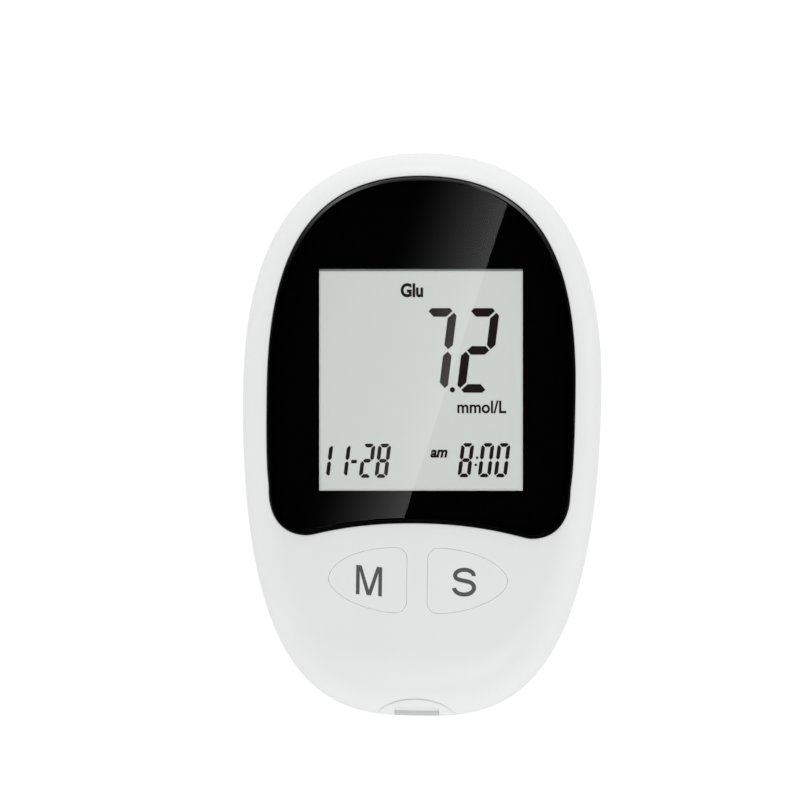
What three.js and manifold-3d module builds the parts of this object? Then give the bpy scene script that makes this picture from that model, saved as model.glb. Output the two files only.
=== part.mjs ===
// A hand-held blood glucose meter, modelled as its separate pieces, in millimetres.
// It lies on its back: +Z points out of the display, +Y to the top end, -Y to the strip port.
// The origin is under the middle of the housing, on the surface that the back rests on.
import * as THREE from 'three';
import { mergeVertices } from 'three/addons/utils/BufferGeometryUtils.js';
import Module from 'manifold-3d';

const wasm = await Module();
wasm.setup();

// Housing outline, seen from the front. Each share is a curve handle's length over its side.
const widestBelowTop = 39.6;
const bossToEdge = 5.8;
const noseBelowButtons = 17.5;
const topTipShare = 0.65;
const topSideShare = 0.68;
const noseSideShare = 1.01;
const noseTipShare = 0.38;
const quadrantSteps = 16;

// Housing section: how far each edge rolls inwards, and how square the roll is.
const wall = 1.8;
const sideRoll = 5.5;
const noseRoll = 12;
const noseRollPower = 4;
const rearRoll = 9;
const frontPower = 2.6;
const rearPower = 2.4;
const rollSteps = 6;
const partingGap = 0.3;
const lipThickness = 0.8;
const lipHeight = 1.2;

// Clearances: a running gap round what moves or is let in, and a film gap between layers.
const gap = 0.3;
const filmGap = 0.05;
const overrun = 2;

// Display window: a clear plate in a recess, printed black behind all but the view of the glass.
const windowRimSide = 4.3;
const windowRimTop = 4;
const windowAboveView = 15.6;
const windowBelowView = 7.75;
const windowFlankRise = 7.6;
const windowFlankIn = 0.6;
const windowCornerIn = 7.1;
const windowArchRise = 2.3;
const windowTopTipShare = 0.79;
const windowTopSideShare = 0.58;
const windowFlankHandle = 15.8;
const windowFlankFoot = 1.9;
const windowCornerHandle = 4.4;
const windowArchHandle = 1.05;
const windowArchTip = 11.4;
const windowThickness = 1.5;
const windowProud = 0.4;
const windowEdgeRound = 0.5;
const printThickness = 0.25;
const ledgeThickness = 1.1;
const windowTopSteps = 9;
const windowCornerSteps = 5;
const windowEdgeSteps = 2;

// Liquid crystal glass: two plates, the front one longer, with contacts on its overhang.
const viewWidth = 34;
const viewLength = 36.8;
const viewLip = 0.35;
const glassThickness = 1;
const glassBorder = 1;
const contactOverhang = 2.7;
const reflectorThickness = 0.25;
const frameWall = 1;
const frameFloor = 0.5;
const frameFloorOpening = 3;
const zebraWidth = 1.8;
const zebraInset = 1.5;

// Buttons: a half ellipse with a straight inner side.
const buttonsBelowWindow = 1.95;
const buttonInnerX = 1.8;
const buttonLength = 13;
const buttonHeight = 10.6;
const buttonCorner = 1.7;
const buttonFlangeOut = 0.8;
const buttonFlangeThickness = 0.8;
const buttonEdgeRound = 0.2;
const buttonTravel = 0.5;
const buttonStemRadius = 1.6;
const buttonCurveSteps = 8;
const buttonCornerSteps = 3;
const switchFromInner = 5.8;
const switchWidth = 5.2;
const switchHeight = 1.8;
const switchFloor = 0.2;
const plungerRadius = 1.3;
const plungerProud = 0.5;

// Circuit board and what is soldered to it.
const boardThickness = 1.2;
const boardInset = 3.6;
const boardGap = 0.35;

// Two cells of 10.5 by 44.5 mm lie side by side, in a tray moulded in the rear cover.
const cellDiameter = 10.5;
const cellLength = 44.5;
const cellNubHeight = 0.8;
const cellNubRadius = 1.9;
const cellShoulder = 0.5;
const cellSpacing = 0.6;
const trayFromTop = 10.1;
const trayWall = 1.2;
const springRoom = 4.4;
const contactThickness = 0.3;
const contactDimple = 0.5;
const contactDimpleRadius = 2;
const contactHeight = 9;
const contactWidth = 9;
const tabWidth = 2;
const springWireRadius = 0.25;
const springBaseRadius = 3.3;
const springTipRadius = 1.9;
const springTurns = 3.5;
const springStepsPerTurn = 8;
const springSides = 5;

// Battery door: it slides off towards the top end, hooked over a rail on each side.
const doorFoot = 3;
const doorThickness = 1.5;
const doorRecess = 0.25;
const doorEndHeight = 6;
const doorEndWall = 1.2;
const hookWidth = 0.9;
const hookHeight = 0.8;
const hookReach = 1.3;
const hookLength = 5;
const hookGap = 0.4;
const hookToDoorEdge = 0.1;
const hookPlaceShares = [0, 0.5, 1];
const railWidth = 1.3;
const railHeight = 0.85;
const cellRest = 0.4;
const gripRidges = 6;
const gripWidth = 13;
const gripPitch = 1.9;
const gripRidgeWidth = 0.8;
const gripRidgeHeight = 0.2;
const gripFromTop = 10;

// Screws. The housing screws come in from the back, the board screws through the board.
const bossRadius = 2.3;
const bossBoreRadius = 1.25;
const upperBossBelowView = 5.5;
const lowerBossX = 15;
const lowerBossBelowButtons = 3.4;
const columnRadius = 3.6;
const columnBoreRadius = 1.5;
const counterboreRadius = 2.7;
const counterboreDepth = 3.6;
const columnBelowParting = 2;
const screwHeadRadius = 2.3;
const screwHeadHeight = 1.6;
const screwShankRadius = 0.95;
const screwGrip = 4.25;
const driveSlot = 0.6;
const driveReach = 1.4;
const driveDepth = 0.9;
const upperPostX = 16.5;
const postFromFrame = 1;
const postRadius = 2.2;
const boardScrewHeadRadius = 1.8;
const boardScrewHeadHeight = 1.1;
const boardScrewShankRadius = 0.7;
const boardScrewGrip = 1.9;
const boardDriveSlot = 0.4;
const boardDriveReach = 1;
const boardDriveDepth = 0.6;
const roundSteps = 16;

// Test strip port at the nose.
const portArcRadius = 11.3;
const portArcTop = 2.9;
const portRecess = 0.6;
const portBlockWidth = 12.6;
const portBlockRoof = 0.4;
const portDepth = 3.7;
const flangeWidth = 18;
const flangeThickness = 1;
const slotWidth = 7.5;
const slotHeight = 1.2;
const slotFloor = 1.25;
const slotNotch = 1.2;
const connectorWidth = 11.8;
const connectorLength = 8;
const connectorBack = 1;
const connectorRoof = 0.85;
const stripContacts = 4;
const stripContactPitch = 1.5;
const stripContactWidth = 0.7;
const stripContactThickness = 0.2;
const stripContactTail = 0.6;
const stripContactTouchShare = 0.2;
const stripContactReturnShare = 0.5;

// Heights that follow from the layers, from the back of the battery door to the display window.
const doorInnerZ = doorRecess + doorThickness;
const cellZ = doorInnerZ + cellRest + cellDiameter / 2;
const trayRoofZ = cellZ + cellDiameter / 2 + gap;
const boardBottomZ = trayRoofZ + trayWall + boardGap;
const boardTopZ = boardBottomZ + boardThickness;
const frameFloorZ = boardTopZ + filmGap + frameFloor;
const reflectorZ = frameFloorZ + filmGap;
const rearGlassZ = reflectorZ + reflectorThickness + filmGap;
const frontGlassZ = rearGlassZ + glassThickness + filmGap;
const glassTopZ = frontGlassZ + glassThickness;
const ledgeBottomZ = glassTopZ + gap;
const ledgeTopZ = ledgeBottomZ + ledgeThickness;
const printZ = ledgeTopZ + filmGap;
const windowZ = printZ + printThickness + filmGap;
const faceZ = windowZ + windowThickness - windowProud;
const innerFaceZ = faceZ - wall;

// The strip slot lies just under the board, and the two covers part just under the slot's floor.
const connectorTopZ = boardBottomZ - filmGap;
const slotHighZ = connectorTopZ - connectorRoof;
const slotLowZ = slotHighZ - slotHeight;
const portFloorZ = slotLowZ - slotFloor;
const partingZ = portFloorZ - partingGap / 2;
const rearDepth = partingZ;
const frontDepth = faceZ - partingZ;
const columnTopZ = partingZ - columnBelowParting;

// Widths from the middle outwards: the view, its glass and frame, a screw boss and the wall.
const glassWidth = viewWidth + 2 * glassBorder;
const frameWidth = glassWidth + 2 * gap + 2 * frameWall;
const upperBossX = frameWidth / 2 + gap + bossRadius;
const halfWidth = upperBossX + bossRadius + bossToEdge;
const trayHalf = cellSpacing / 2 + cellDiameter + gap;
const trayOuter = trayHalf + trayWall;
const doorHalf = trayOuter + hookGap + hookWidth + hookReach + hookToDoorEdge;
const switchX = buttonInnerX + switchFromInner;

// Places along the housing, from the top end down to the nose.
const bodyLength = windowRimTop + windowAboveView + viewLength + windowBelowView
  + buttonsBelowWindow + buttonHeight + noseBelowButtons;
const halfLength = bodyLength / 2;
const widestY = halfLength - widestBelowTop;
const windowTopY = halfLength - windowRimTop;
const viewHighY = windowTopY - windowAboveView;
const viewLowY = viewHighY - viewLength;
const windowLowY = viewLowY - windowBelowView;
const buttonY = windowLowY - buttonsBelowWindow - buttonHeight / 2;
const rearGlassLowY = viewLowY - glassBorder;
const frontGlassLowY = rearGlassLowY - contactOverhang;
const glassHighY = viewHighY + glassBorder;
const trayEndY = halfLength - trayFromTop;
const trayLowY = trayEndY - 2 * (gap + contactThickness) - springRoom - cellLength - contactDimple;

const white = new THREE.MeshStandardMaterial({ color: '#e9eaea', roughness: 0.38 });
const clear = new THREE.MeshStandardMaterial({
  color: '#dfe6e4', roughness: 0.05, transparent: true, opacity: 0.3,
});
const blackPrint = new THREE.MeshStandardMaterial({ color: '#050506', roughness: 0.3 });
const lcdGlass = new THREE.MeshStandardMaterial({
  color: '#cfd6d0', roughness: 0.08, transparent: true, opacity: 0.5,
});
const reflector = new THREE.MeshStandardMaterial({ color: '#cbd2cc', roughness: 0.5 });
const innerPlastic = new THREE.MeshStandardMaterial({ color: '#dcdcd8', roughness: 0.6 });
const zebra = new THREE.MeshStandardMaterial({ color: '#d59aa0', roughness: 0.8 });
const boardGreen = new THREE.MeshStandardMaterial({ color: '#1d5a35', roughness: 0.45 });
const chipBlack = new THREE.MeshStandardMaterial({ color: '#1c1c1e', roughness: 0.6 });
const steel = new THREE.MeshStandardMaterial({ color: '#b9bcc0', roughness: 0.3, metalness: 1 });
const brass = new THREE.MeshStandardMaterial({ color: '#c9a64e', roughness: 0.35, metalness: 1 });
const cellJacket = new THREE.MeshStandardMaterial({ color: '#2f6f5e', roughness: 0.35 });

const axes = 3;

// A closed geometry as a solid. Triangles that collapse when vertices merge are dropped.
function solidOf(geometry) {
  const bare = geometry.clone();
  bare.deleteAttribute('normal');
  bare.deleteAttribute('uv');
  const merged = mergeVertices(bare);
  const index = merged.index.array;
  const kept = [];
  for (let i = 0; i < index.length; i += axes) {
    const [a, b, c] = [index[i], index[i + 1], index[i + 2]];
    if (a !== b && b !== c && a !== c) kept.push(a, b, c);
  }
  return new wasm.Manifold(new wasm.Mesh({
    numProp: axes,
    vertProperties: new Float32Array(merged.attributes.position.array),
    triVerts: new Uint32Array(kept),
  }));
}

function geometryOf(solid) {
  const mesh = solid.getMesh();
  const positions = new Float32Array(mesh.numVert * axes);
  for (let i = 0; i < mesh.numVert; i++) {
    const start = i * mesh.numProp;
    positions.set(mesh.vertProperties.subarray(start, start + axes), i * axes);
  }
  const geometry = new THREE.BufferGeometry();
  geometry.setAttribute('position', new THREE.BufferAttribute(positions, axes));
  geometry.setIndex(new THREE.BufferAttribute(mesh.triVerts, 1));
  const faceted = geometry.toNonIndexed();
  faceted.computeVertexNormals();
  return faceted;
}

const joined = (solids) => solids.reduce((sum, next) => sum.add(next));
const cut = (solid, tools) => tools.reduce((left, tool) => left.subtract(tool), solid);

// A box between two corners.
function block(low, high) {
  const size = high.map((value, axis) => value - low[axis]);
  const middle = high.map((value, axis) => (value + low[axis]) / 2);
  return solidOf(new THREE.BoxGeometry(...size).translate(...middle));
}

// A box that is symmetric about the housing's long axis.
const bar = (width, lowY, highY, lowZ, highZ) => (
  block([-width / 2, lowY, lowZ], [width / 2, highY, highZ])
);

// An upright cylinder.
function rod(radius, x, y, lowZ, highZ, steps = roundSteps) {
  const geometry = new THREE.CylinderGeometry(radius, radius, highZ - lowZ, steps);
  return solidOf(geometry.rotateX(Math.PI / 2).translate(x, y, (lowZ + highZ) / 2));
}

// A skin over rings of equal length, each a loop of points at one height, from the lowest up.
function loft(rings) {
  const count = rings[0].loop.length;
  const positions = rings.flatMap(({ loop, z }) => (
    loop.flatMap((point, i) => [point.x, point.y, Array.isArray(z) ? z[i] : z])
  ));
  const index = [];
  for (let ring = 0; ring + 1 < rings.length; ring++) {
    for (let i = 0; i < count; i++) {
      const next = (i + 1) % count;
      const [a, b] = [ring * count + i, ring * count + next];
      index.push(a, b, b + count, a, b + count, a + count);
    }
  }
  const last = (rings.length - 1) * count;
  for (const [a, b, c] of THREE.ShapeUtils.triangulateShape(rings[0].loop, [])) index.push(a, c, b);
  const lid = THREE.ShapeUtils.triangulateShape(rings.at(-1).loop, []);
  for (const [a, b, c] of lid) index.push(last + a, last + b, last + c);
  const geometry = new THREE.BufferGeometry();
  geometry.setAttribute('position', new THREE.Float32BufferAttribute(positions, axes));
  geometry.setIndex(index);
  return solidOf(geometry);
}

const prism = (loop, lowZ, highZ) => loft([{ loop, z: lowZ }, { loop, z: highZ }]);

// The loop moved outwards, by one distance or by one for each point.
function grown(loop, distance) {
  const count = loop.length;
  return loop.map((point, i) => {
    const before = loop[(i + count - 1) % count];
    const after = loop[(i + 1) % count];
    const along = after.clone().sub(before).normalize();
    const by = Array.isArray(distance) ? distance[i] : distance;
    return new THREE.Vector2(point.x + along.y * by, point.y - along.x * by);
  });
}

// The right half of a loop, from its lowest point to its highest, and then its mirror image.
function mirrored(half) {
  const left = half.slice(1, -1).reverse().map((point) => new THREE.Vector2(-point.x, point.y));
  return [...half, ...left];
}

const at = (x, y) => new THREE.Vector2(x, y);
const bend = (...points) => new THREE.CubicBezierCurve(...points);

// Points along the curves in turn, each curve with its own number of steps.
function traced(curves) {
  const points = curves.flatMap(([curve, steps]) => curve.getSpacedPoints(steps).slice(0, -1));
  return [...points, curves.at(-1)[0].getPoint(1)];
}

// Housing outline
const noseReach = widestY + halfLength;
const topReach = halfLength - widestY;
const bodyLoop = mirrored(traced([
  [bend(
    at(0, -halfLength), at(noseTipShare * halfWidth, -halfLength),
    at(halfWidth, widestY - noseSideShare * noseReach), at(halfWidth, widestY),
  ), quadrantSteps],
  [bend(
    at(halfWidth, widestY), at(halfWidth, widestY + topSideShare * topReach),
    at(topTipShare * halfWidth, halfLength), at(0, halfLength),
  ), quadrantSteps],
]));

// The front edge rolls further in near the nose, where the face slopes down to the strip port.
const frontRolls = bodyLoop.map(({ y }) => {
  const toNose = Math.max(0, (widestY - y) / noseReach);
  return sideRoll + (noseRoll - sideRoll) * toNose ** noseRollPower;
});
const rearRolls = bodyLoop.map(() => rearRoll);

// Rings of a rolled edge from the parting plane outwards, inset by a skin thickness.
function rolled(rolls, power, depth, inset, steps = rollSteps) {
  const rings = [];
  for (let step = 0; step <= steps; step++) {
    const angle = (step / steps) * Math.PI / 2;
    const inwards = 1 - Math.cos(angle) ** (2 / power);
    const rise = Math.sin(angle) ** (2 / power);
    rings.push({
      loop: grown(bodyLoop, rolls.map((roll) => -inset - roll * inwards)),
      z: depth * rise,
    });
  }
  return rings;
}

// The front half of the housing's volume above the parting plane, and the rear half below it.
const frontVolume = (inset, depth, foot = 0) => loft([
  ...(foot ? [{ loop: grown(bodyLoop, -inset), z: partingZ - foot }] : []),
  ...rolled(frontRolls, frontPower, depth, inset).map(({ loop, z }) => ({ loop, z: partingZ + z })),
]);
const rearVolume = (inset, depth, head = 0) => loft([
  ...rolled(rearRolls, rearPower, depth, inset).map(({ loop, z }) => (
    { loop, z: partingZ - z }
  )).reverse(),
  ...(head ? [{ loop: grown(bodyLoop, -inset), z: partingZ + head }] : []),
]);
const envelope = rearVolume(0, rearDepth, overrun).add(frontVolume(0, frontDepth));
const above = (z) => block(
  [-bodyLength, -bodyLength, z], [bodyLength, bodyLength, faceZ + windowProud + overrun],
);
const below = (z) => block([-bodyLength, -bodyLength, -overrun], [bodyLength, bodyLength, z]);

// Display window outline, from the middle of its lower arch round to its top
const windowHalf = halfWidth - windowRimSide;
const windowCorner = at(windowHalf - windowCornerIn, windowLowY);
const windowFlank = at(windowHalf - windowFlankIn, windowLowY + windowFlankRise);
const windowArchY = windowLowY + windowArchRise;
const windowLoop = mirrored(traced([
  [bend(
    at(0, windowArchY), at(windowArchTip, windowArchY),
    at(windowCorner.x - windowArchHandle, windowCorner.y), windowCorner,
  ), windowCornerSteps],
  [bend(
    windowCorner, at(windowCorner.x + windowCornerHandle, windowCorner.y),
    at(windowFlank.x, windowFlank.y - windowCornerHandle), windowFlank,
  ), windowCornerSteps],
  [bend(
    windowFlank, at(windowFlank.x, windowFlank.y + windowFlankFoot),
    at(windowHalf, widestY - windowFlankHandle), at(windowHalf, widestY),
  ), windowCornerSteps],
  [bend(
    at(windowHalf, widestY), at(windowHalf, widestY + windowTopSideShare * (windowTopY - widestY)),
    at(windowTopTipShare * windowHalf, windowTopY), at(0, windowTopY),
  ), windowTopSteps],
]));

// A hole the size of the view
const viewHole = (margin, lowZ, highZ) => bar(
  viewWidth + 2 * margin, viewLowY - margin, viewHighY + margin, lowZ, highZ,
);

// A button's outline: straight inner side, rounded inner corners and a half ellipse outwards.
const buttonHalfHeight = buttonHeight / 2;
const ellipseReach = buttonLength - buttonCorner;
const ellipseX = buttonInnerX + buttonCorner;
const buttonLoop = [
  ...new THREE.EllipseCurve(
    ellipseX, buttonY, ellipseReach, buttonHalfHeight, -Math.PI / 2, Math.PI / 2,
  ).getPoints(2 * buttonCurveSteps),
  ...new THREE.EllipseCurve(
    ellipseX, buttonY + buttonHalfHeight - buttonCorner, buttonCorner, buttonCorner,
    Math.PI / 2, Math.PI,
  ).getPoints(buttonCornerSteps).slice(1),
  ...new THREE.EllipseCurve(
    ellipseX, buttonY - buttonHalfHeight + buttonCorner, buttonCorner, buttonCorner,
    Math.PI, 1.5 * Math.PI,
  ).getPoints(buttonCornerSteps).slice(0, -1),
];
const onSide = (loop, side) => (
  side > 0 ? loop : loop.map((point) => at(-point.x, point.y)).reverse()
);
const sides = [-1, 1];

// Where the screws stand: bosses beside the display's frame and below the buttons, posts for the
// board beyond the frame and beside the buttons' flanges.
const upperBossY = viewHighY - upperBossBelowView;
const lowerBossY = buttonY - buttonHalfHeight - lowerBossBelowButtons;
const bossPlaces = [
  [-upperBossX, upperBossY], [upperBossX, upperBossY],
  [-lowerBossX, lowerBossY], [lowerBossX, lowerBossY],
];
const upperPostY = glassHighY + gap + frameWall + postFromFrame + postRadius;
const lowerPostX = buttonInnerX + buttonLength + buttonFlangeOut + 2 * gap + postRadius;
const postPlaces = [
  [-upperPostX, upperPostY], [upperPostX, upperPostY],
  [-lowerPostX, buttonY], [lowerPostX, buttonY],
];

// Strip port: the insert's edge, its flange behind the wall and the connector behind that
const portArcY = -halfLength + portArcTop - portArcRadius;
const portInnerY = -halfLength + portDepth;
const flangeY = portInnerY - flangeThickness;
const connectorLowY = portInnerY + gap;
const connectorHighY = connectorLowY + connectorLength;
const portBlockTopZ = slotHighZ + portBlockRoof;

// Front cover: the white shell with the window recess, button holes and screw bosses
function makeFrontCover() {
  const boss = ([x, y]) => rod(bossRadius, x, y, columnTopZ + gap, innerFaceZ + wall / 2);
  const post = ([x, y]) => rod(postRadius, x, y, boardTopZ + filmGap, innerFaceZ + wall / 2);
  const ledge = prism(grown(windowLoop, gap + wall), ledgeBottomZ, faceZ);
  const shell = cut(frontVolume(0, frontDepth), [
    frontVolume(wall, frontDepth - wall, overrun),
    prism(grown(bodyLoop, -wall + lipThickness + gap), partingZ - overrun,
      partingZ + lipHeight + gap + partingGap / 2),
    below(partingZ + partingGap / 2),
  ]);
  const inner = joined([ledge, ...bossPlaces.map(boss), ...postPlaces.map(post)]);
  return cut(shell.add(inner.intersect(envelope)), [
    prism(grown(windowLoop, gap), ledgeTopZ, faceZ + overrun),
    viewHole(-viewLip, ledgeBottomZ - overrun, ledgeTopZ + overrun),
    ...sides.map((side) => (
      prism(onSide(grown(buttonLoop, gap), side), innerFaceZ - overrun, faceZ + overrun)
    )),
    ...bossPlaces.map(([x, y]) => (
      rod(bossBoreRadius, x, y, columnTopZ - overrun, ledgeBottomZ - gap)
    )),
    ...postPlaces.map(([x, y]) => (
      rod(boardScrewShankRadius + gap, x, y, boardTopZ - overrun, ledgeBottomZ - gap)
    )),
    rod(portArcRadius, 0, portArcY, partingZ - overrun, faceZ + overrun, 4 * roundSteps),
    bar(portBlockWidth + 2 * gap, -bodyLength, portInnerY + gap, partingZ - overrun,
      portBlockTopZ + gap),
  ]);
}

// Rear cover: the white shell with the battery tray, the door's rails and the screw columns
const doorLowY = trayLowY - trayWall - doorFoot + gap;
const railInnerX = doorHalf + gap - railWidth;
const railTopZ = doorInnerZ + gap + railHeight;
const channelTopZ = railTopZ + gap + hookHeight + gap;
const bayHalf = doorHalf + gap + trayWall;
function makeRearCover() {
  const topZ = partingZ - partingGap / 2;
  const shell = rearVolume(0, rearDepth).subtract(rearVolume(wall, rearDepth - wall, overrun));
  const lipFootZ = topZ - lipHeight;
  const lip = prism(grown(bodyLoop, -wall + lipThickness), lipFootZ, partingZ + lipHeight)
    .subtract(prism(grown(bodyLoop, -wall), lipFootZ - overrun, partingZ + lipHeight + overrun));
  const tray = bar(2 * trayOuter, trayLowY - trayWall, trayEndY + trayWall, wall / 2,
    trayRoofZ + trayWall);
  const bay = bar(2 * bayHalf, doorLowY - trayWall, trayEndY + trayWall, wall / 2,
    channelTopZ + trayWall);
  const endPocket = bar(2 * bayHalf, trayEndY, halfLength, wall / 2,
    doorEndHeight + gap + doorEndWall);
  const column = ([x, y]) => rod(columnRadius, x, y, wall / 2, columnTopZ);
  const inner = joined([tray, bay, endPocket, ...bossPlaces.map(column)]);
  const hookChannel = (side) => {
    const reach = (from, to, lowZ, highZ) => {
      const [low, high] = side > 0 ? [from, to] : [-to, -from];
      return block([low, trayLowY - trayWall, lowZ], [high, bodyLength, highZ]);
    };
    return reach(trayOuter, railInnerX, doorInnerZ, channelTopZ)
      .add(reach(trayOuter, doorHalf + gap, railTopZ, channelTopZ));
  };
  const tabHole = (side) => {
    const middle = side * (cellSpacing + cellDiameter) / 2;
    const half = tabWidth / 2 + gap;
    return block([middle - half, trayLowY, trayRoofZ - overrun],
      [middle + half, trayLowY + 2 * gap + contactThickness, trayRoofZ + trayWall + overrun]);
  };
  const cleared = cut(shell.subtract(above(topZ)).add(lip), [
    bar(flangeWidth + 2 * gap, -bodyLength, portInnerY + gap, topZ, faceZ),
  ]);
  return cut(cleared.add(inner.intersect(envelope)), [
    bar(2 * (doorHalf + gap), doorLowY - gap, bodyLength, -overrun, doorEndHeight + gap)
      .subtract(rearVolume(doorInnerZ + gap, rearDepth - doorInnerZ - gap, overrun)),
    ...sides.map(hookChannel),
    bar(2 * (doorHalf + gap), trayEndY + trayWall, bodyLength, -overrun, doorEndHeight + gap),
    bar(2 * trayHalf, trayLowY, trayEndY, -overrun, trayRoofZ),
    ...sides.map(tabHole),
    ...bossPlaces.map(([x, y]) => rod(counterboreRadius, x, y, -overrun, counterboreDepth)),
    ...bossPlaces.map(([x, y]) => rod(columnBoreRadius, x, y, 0, columnTopZ + overrun)),
  ]);
}

// Battery door: part of the back and of its rounded top end, with hooks inside and thumb ridges
function makeBatteryDoor() {
  const skin = rearVolume(doorRecess, rearDepth - doorRecess)
    .subtract(rearVolume(doorInnerZ, rearDepth - doorInnerZ, overrun));
  const panel = skin.intersect(
    bar(2 * doorHalf, doorLowY, bodyLength, -overrun, doorEndHeight),
  );
  const hookZ = railTopZ + gap;
  const hookInnerX = trayOuter + hookGap;
  const hook = (side, y) => {
    const piece = (from, to, lowZ, highZ) => {
      const [low, high] = side > 0 ? [from, to] : [-to, -from];
      return block([low, y, lowZ], [high, y + hookLength, highZ]);
    };
    return piece(hookInnerX, hookInnerX + hookWidth, doorInnerZ - doorThickness / 2,
      hookZ + hookHeight)
      .add(piece(hookInnerX, hookInnerX + hookWidth + hookReach, hookZ, hookZ + hookHeight));
  };
  const hookRun = trayEndY - hookLength - trayLowY;
  const hookYs = hookPlaceShares.map((share) => trayLowY + share * hookRun);
  const ridge = (_, i) => {
    const y = trayEndY - gripFromTop + i * gripPitch - gripRidges * gripPitch / 2;
    return bar(gripWidth, y, y + gripRidgeWidth, doorRecess - gripRidgeHeight,
      doorRecess + doorThickness / 2);
  };
  return joined([
    panel,
    ...sides.flatMap((side) => hookYs.map((y) => hook(side, y))),
    ...Array.from({ length: gripRidges }, ridge),
  ]);
}

// Display window plate: its upper edge is rounded and it stands a little proud of the face
function makeWindowPlate() {
  const topZ = windowZ + windowThickness;
  const edge = [];
  for (let step = 0; step <= windowEdgeSteps; step++) {
    const angle = step / windowEdgeSteps * Math.PI / 2;
    edge.push({
      loop: grown(windowLoop, -windowEdgeRound * (1 - Math.cos(angle))),
      z: topZ - windowEdgeRound * (1 - Math.sin(angle)),
    });
  }
  return loft([{ loop: windowLoop, z: windowZ }, ...edge]);
}

const makeWindowPrint = () => (
  prism(windowLoop, printZ, printZ + printThickness)
    .subtract(viewHole(0, printZ - overrun, printZ + overrun))
);

// A button: the cap in the face, a flange that stops it from inside and a stem onto the switch
const switchTopZ = boardTopZ + filmGap + switchHeight;
const plungerTopZ = switchTopZ + plungerProud;
function makeButton(side) {
  const loop = onSide(buttonLoop, side);
  const flangeTopZ = innerFaceZ - gap;
  const flangeZ = flangeTopZ - buttonFlangeThickness;
  return joined([
    loft([
      { loop, z: flangeZ },
      { loop, z: faceZ - buttonEdgeRound },
      { loop: grown(loop, -buttonEdgeRound), z: faceZ },
    ]),
    prism(grown(loop, gap + buttonFlangeOut), flangeZ, flangeTopZ),
    rod(buttonStemRadius, side * switchX, buttonY, plungerTopZ + filmGap,
      flangeZ + buttonFlangeThickness / 2),
  ]);
}

// A push switch: a square body with a round well, and the plunger that moves in it
function makeSwitchBody(side) {
  const [x, half] = [side * switchX, switchWidth / 2];
  const bodyLowZ = boardTopZ + filmGap;
  return block([x - half, buttonY - half, bodyLowZ], [x + half, buttonY + half, switchTopZ])
    .subtract(rod(plungerRadius + gap, x, buttonY, bodyLowZ + switchFloor, switchTopZ + overrun));
}

const plungerLowZ = boardTopZ + filmGap + switchFloor + buttonTravel + filmGap;
const makePlunger = (side) => (
  rod(plungerRadius, side * switchX, buttonY, plungerLowZ, plungerTopZ)
);

// Liquid crystal display: reflector, two glass plates, their frame and the rubber connector
const makeReflector = () => bar(
  glassWidth, rearGlassLowY, glassHighY, reflectorZ, reflectorZ + reflectorThickness,
);
const makeRearGlass = () => bar(
  glassWidth, rearGlassLowY, glassHighY, rearGlassZ, rearGlassZ + glassThickness,
);
const makeFrontGlass = () => bar(
  glassWidth, frontGlassLowY, glassHighY, frontGlassZ, glassTopZ,
);
const zebraY = frontGlassLowY + zebraInset;
const zebraLength = glassWidth - 2 * glassBorder;
const makeZebra = () => bar(
  zebraLength, zebraY - zebraWidth / 2, zebraY + zebraWidth / 2,
  boardTopZ + filmGap, frontGlassZ - filmGap,
);
function makeDisplayFrame() {
  const lowY = frontGlassLowY - gap;
  const highY = glassHighY + gap;
  const pocketWidth = glassWidth + 2 * gap;
  return cut(
    bar(frameWidth, lowY - frameWall, highY + frameWall, boardTopZ + filmGap, glassTopZ),
    [
      bar(pocketWidth, lowY, highY, frameFloorZ, glassTopZ + overrun),
      bar(zebraLength + 2 * gap, zebraY - zebraWidth / 2 - gap, zebraY + zebraWidth / 2 + gap,
        boardTopZ - overrun, glassTopZ),
      bar(glassWidth - 2 * frameFloorOpening, rearGlassLowY + frameFloorOpening,
        glassHighY - frameFloorOpening, boardTopZ - overrun, glassTopZ),
    ],
  );
}

// Circuit board, notched round the bosses and drilled for its own screws
function makeBoard() {
  const [lowZ, highZ] = [boardBottomZ - overrun, boardTopZ + overrun];
  const clearance = bossRadius + 2 * gap;
  const notch = (side) => {
    const [low, high] = side > 0 ? [upperBossX, bodyLength] : [-bodyLength, -upperBossX];
    return block([low, upperBossY - clearance, lowZ], [high, upperBossY + clearance, highZ]);
  };
  return cut(prism(grown(bodyLoop, -boardInset), boardBottomZ, boardTopZ), [
    ...sides.map(notch),
    ...bossPlaces.map(([x, y]) => rod(clearance, x, y, lowZ, highZ)),
    ...postPlaces.map(([x, y]) => rod(boardScrewShankRadius + gap, x, y, lowZ, highZ)),
  ]);
}

// Components that hang under the board, in a row on each side of the tray, from the lower posts
// to the upper bosses, and one at the nose. Each has its size in X, Y and Z and its place.
const boardHalf = halfWidth - boardInset;
const sideRowX = (trayOuter + boardHalf) / 2;
const noseRowY = (trayLowY - trayWall + connectorHighY) / 2;
const sideRowLowY = buttonY + postRadius;
const sideRowHighY = upperBossY - columnRadius;
const sidePlace = (side, share) => (
  [side * sideRowX, sideRowLowY + share * (sideRowHighY - sideRowLowY)]
);
const nosePlace = (share) => [share * lowerBossX, noseRowY];
const chips = {
  controller_chip: { size: [9, 9, 1.4], place: sidePlace(-1, 0.64), material: chipBlack },
  memory_chip: { size: [4.9, 3.9, 1.5], place: sidePlace(-1, 0.39), material: chipBlack },
  voltage_regulator: { size: [2.9, 1.6, 1.1], place: sidePlace(1, 0.33), material: chipBlack },
  sensor_amplifier_chip: { size: [4.4, 5, 1.1], place: nosePlace(-0.6), material: chipBlack },
  supply_capacitor: { size: [6, 3.2, 2.6], place: nosePlace(0.6), material: brass },
};
const makeChip = ({ size: [width, length, height], place: [x, y] }) => block(
  [x - width / 2, y - length / 2, boardBottomZ - filmGap - height],
  [x + width / 2, y + length / 2, boardBottomZ - filmGap],
);
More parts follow.
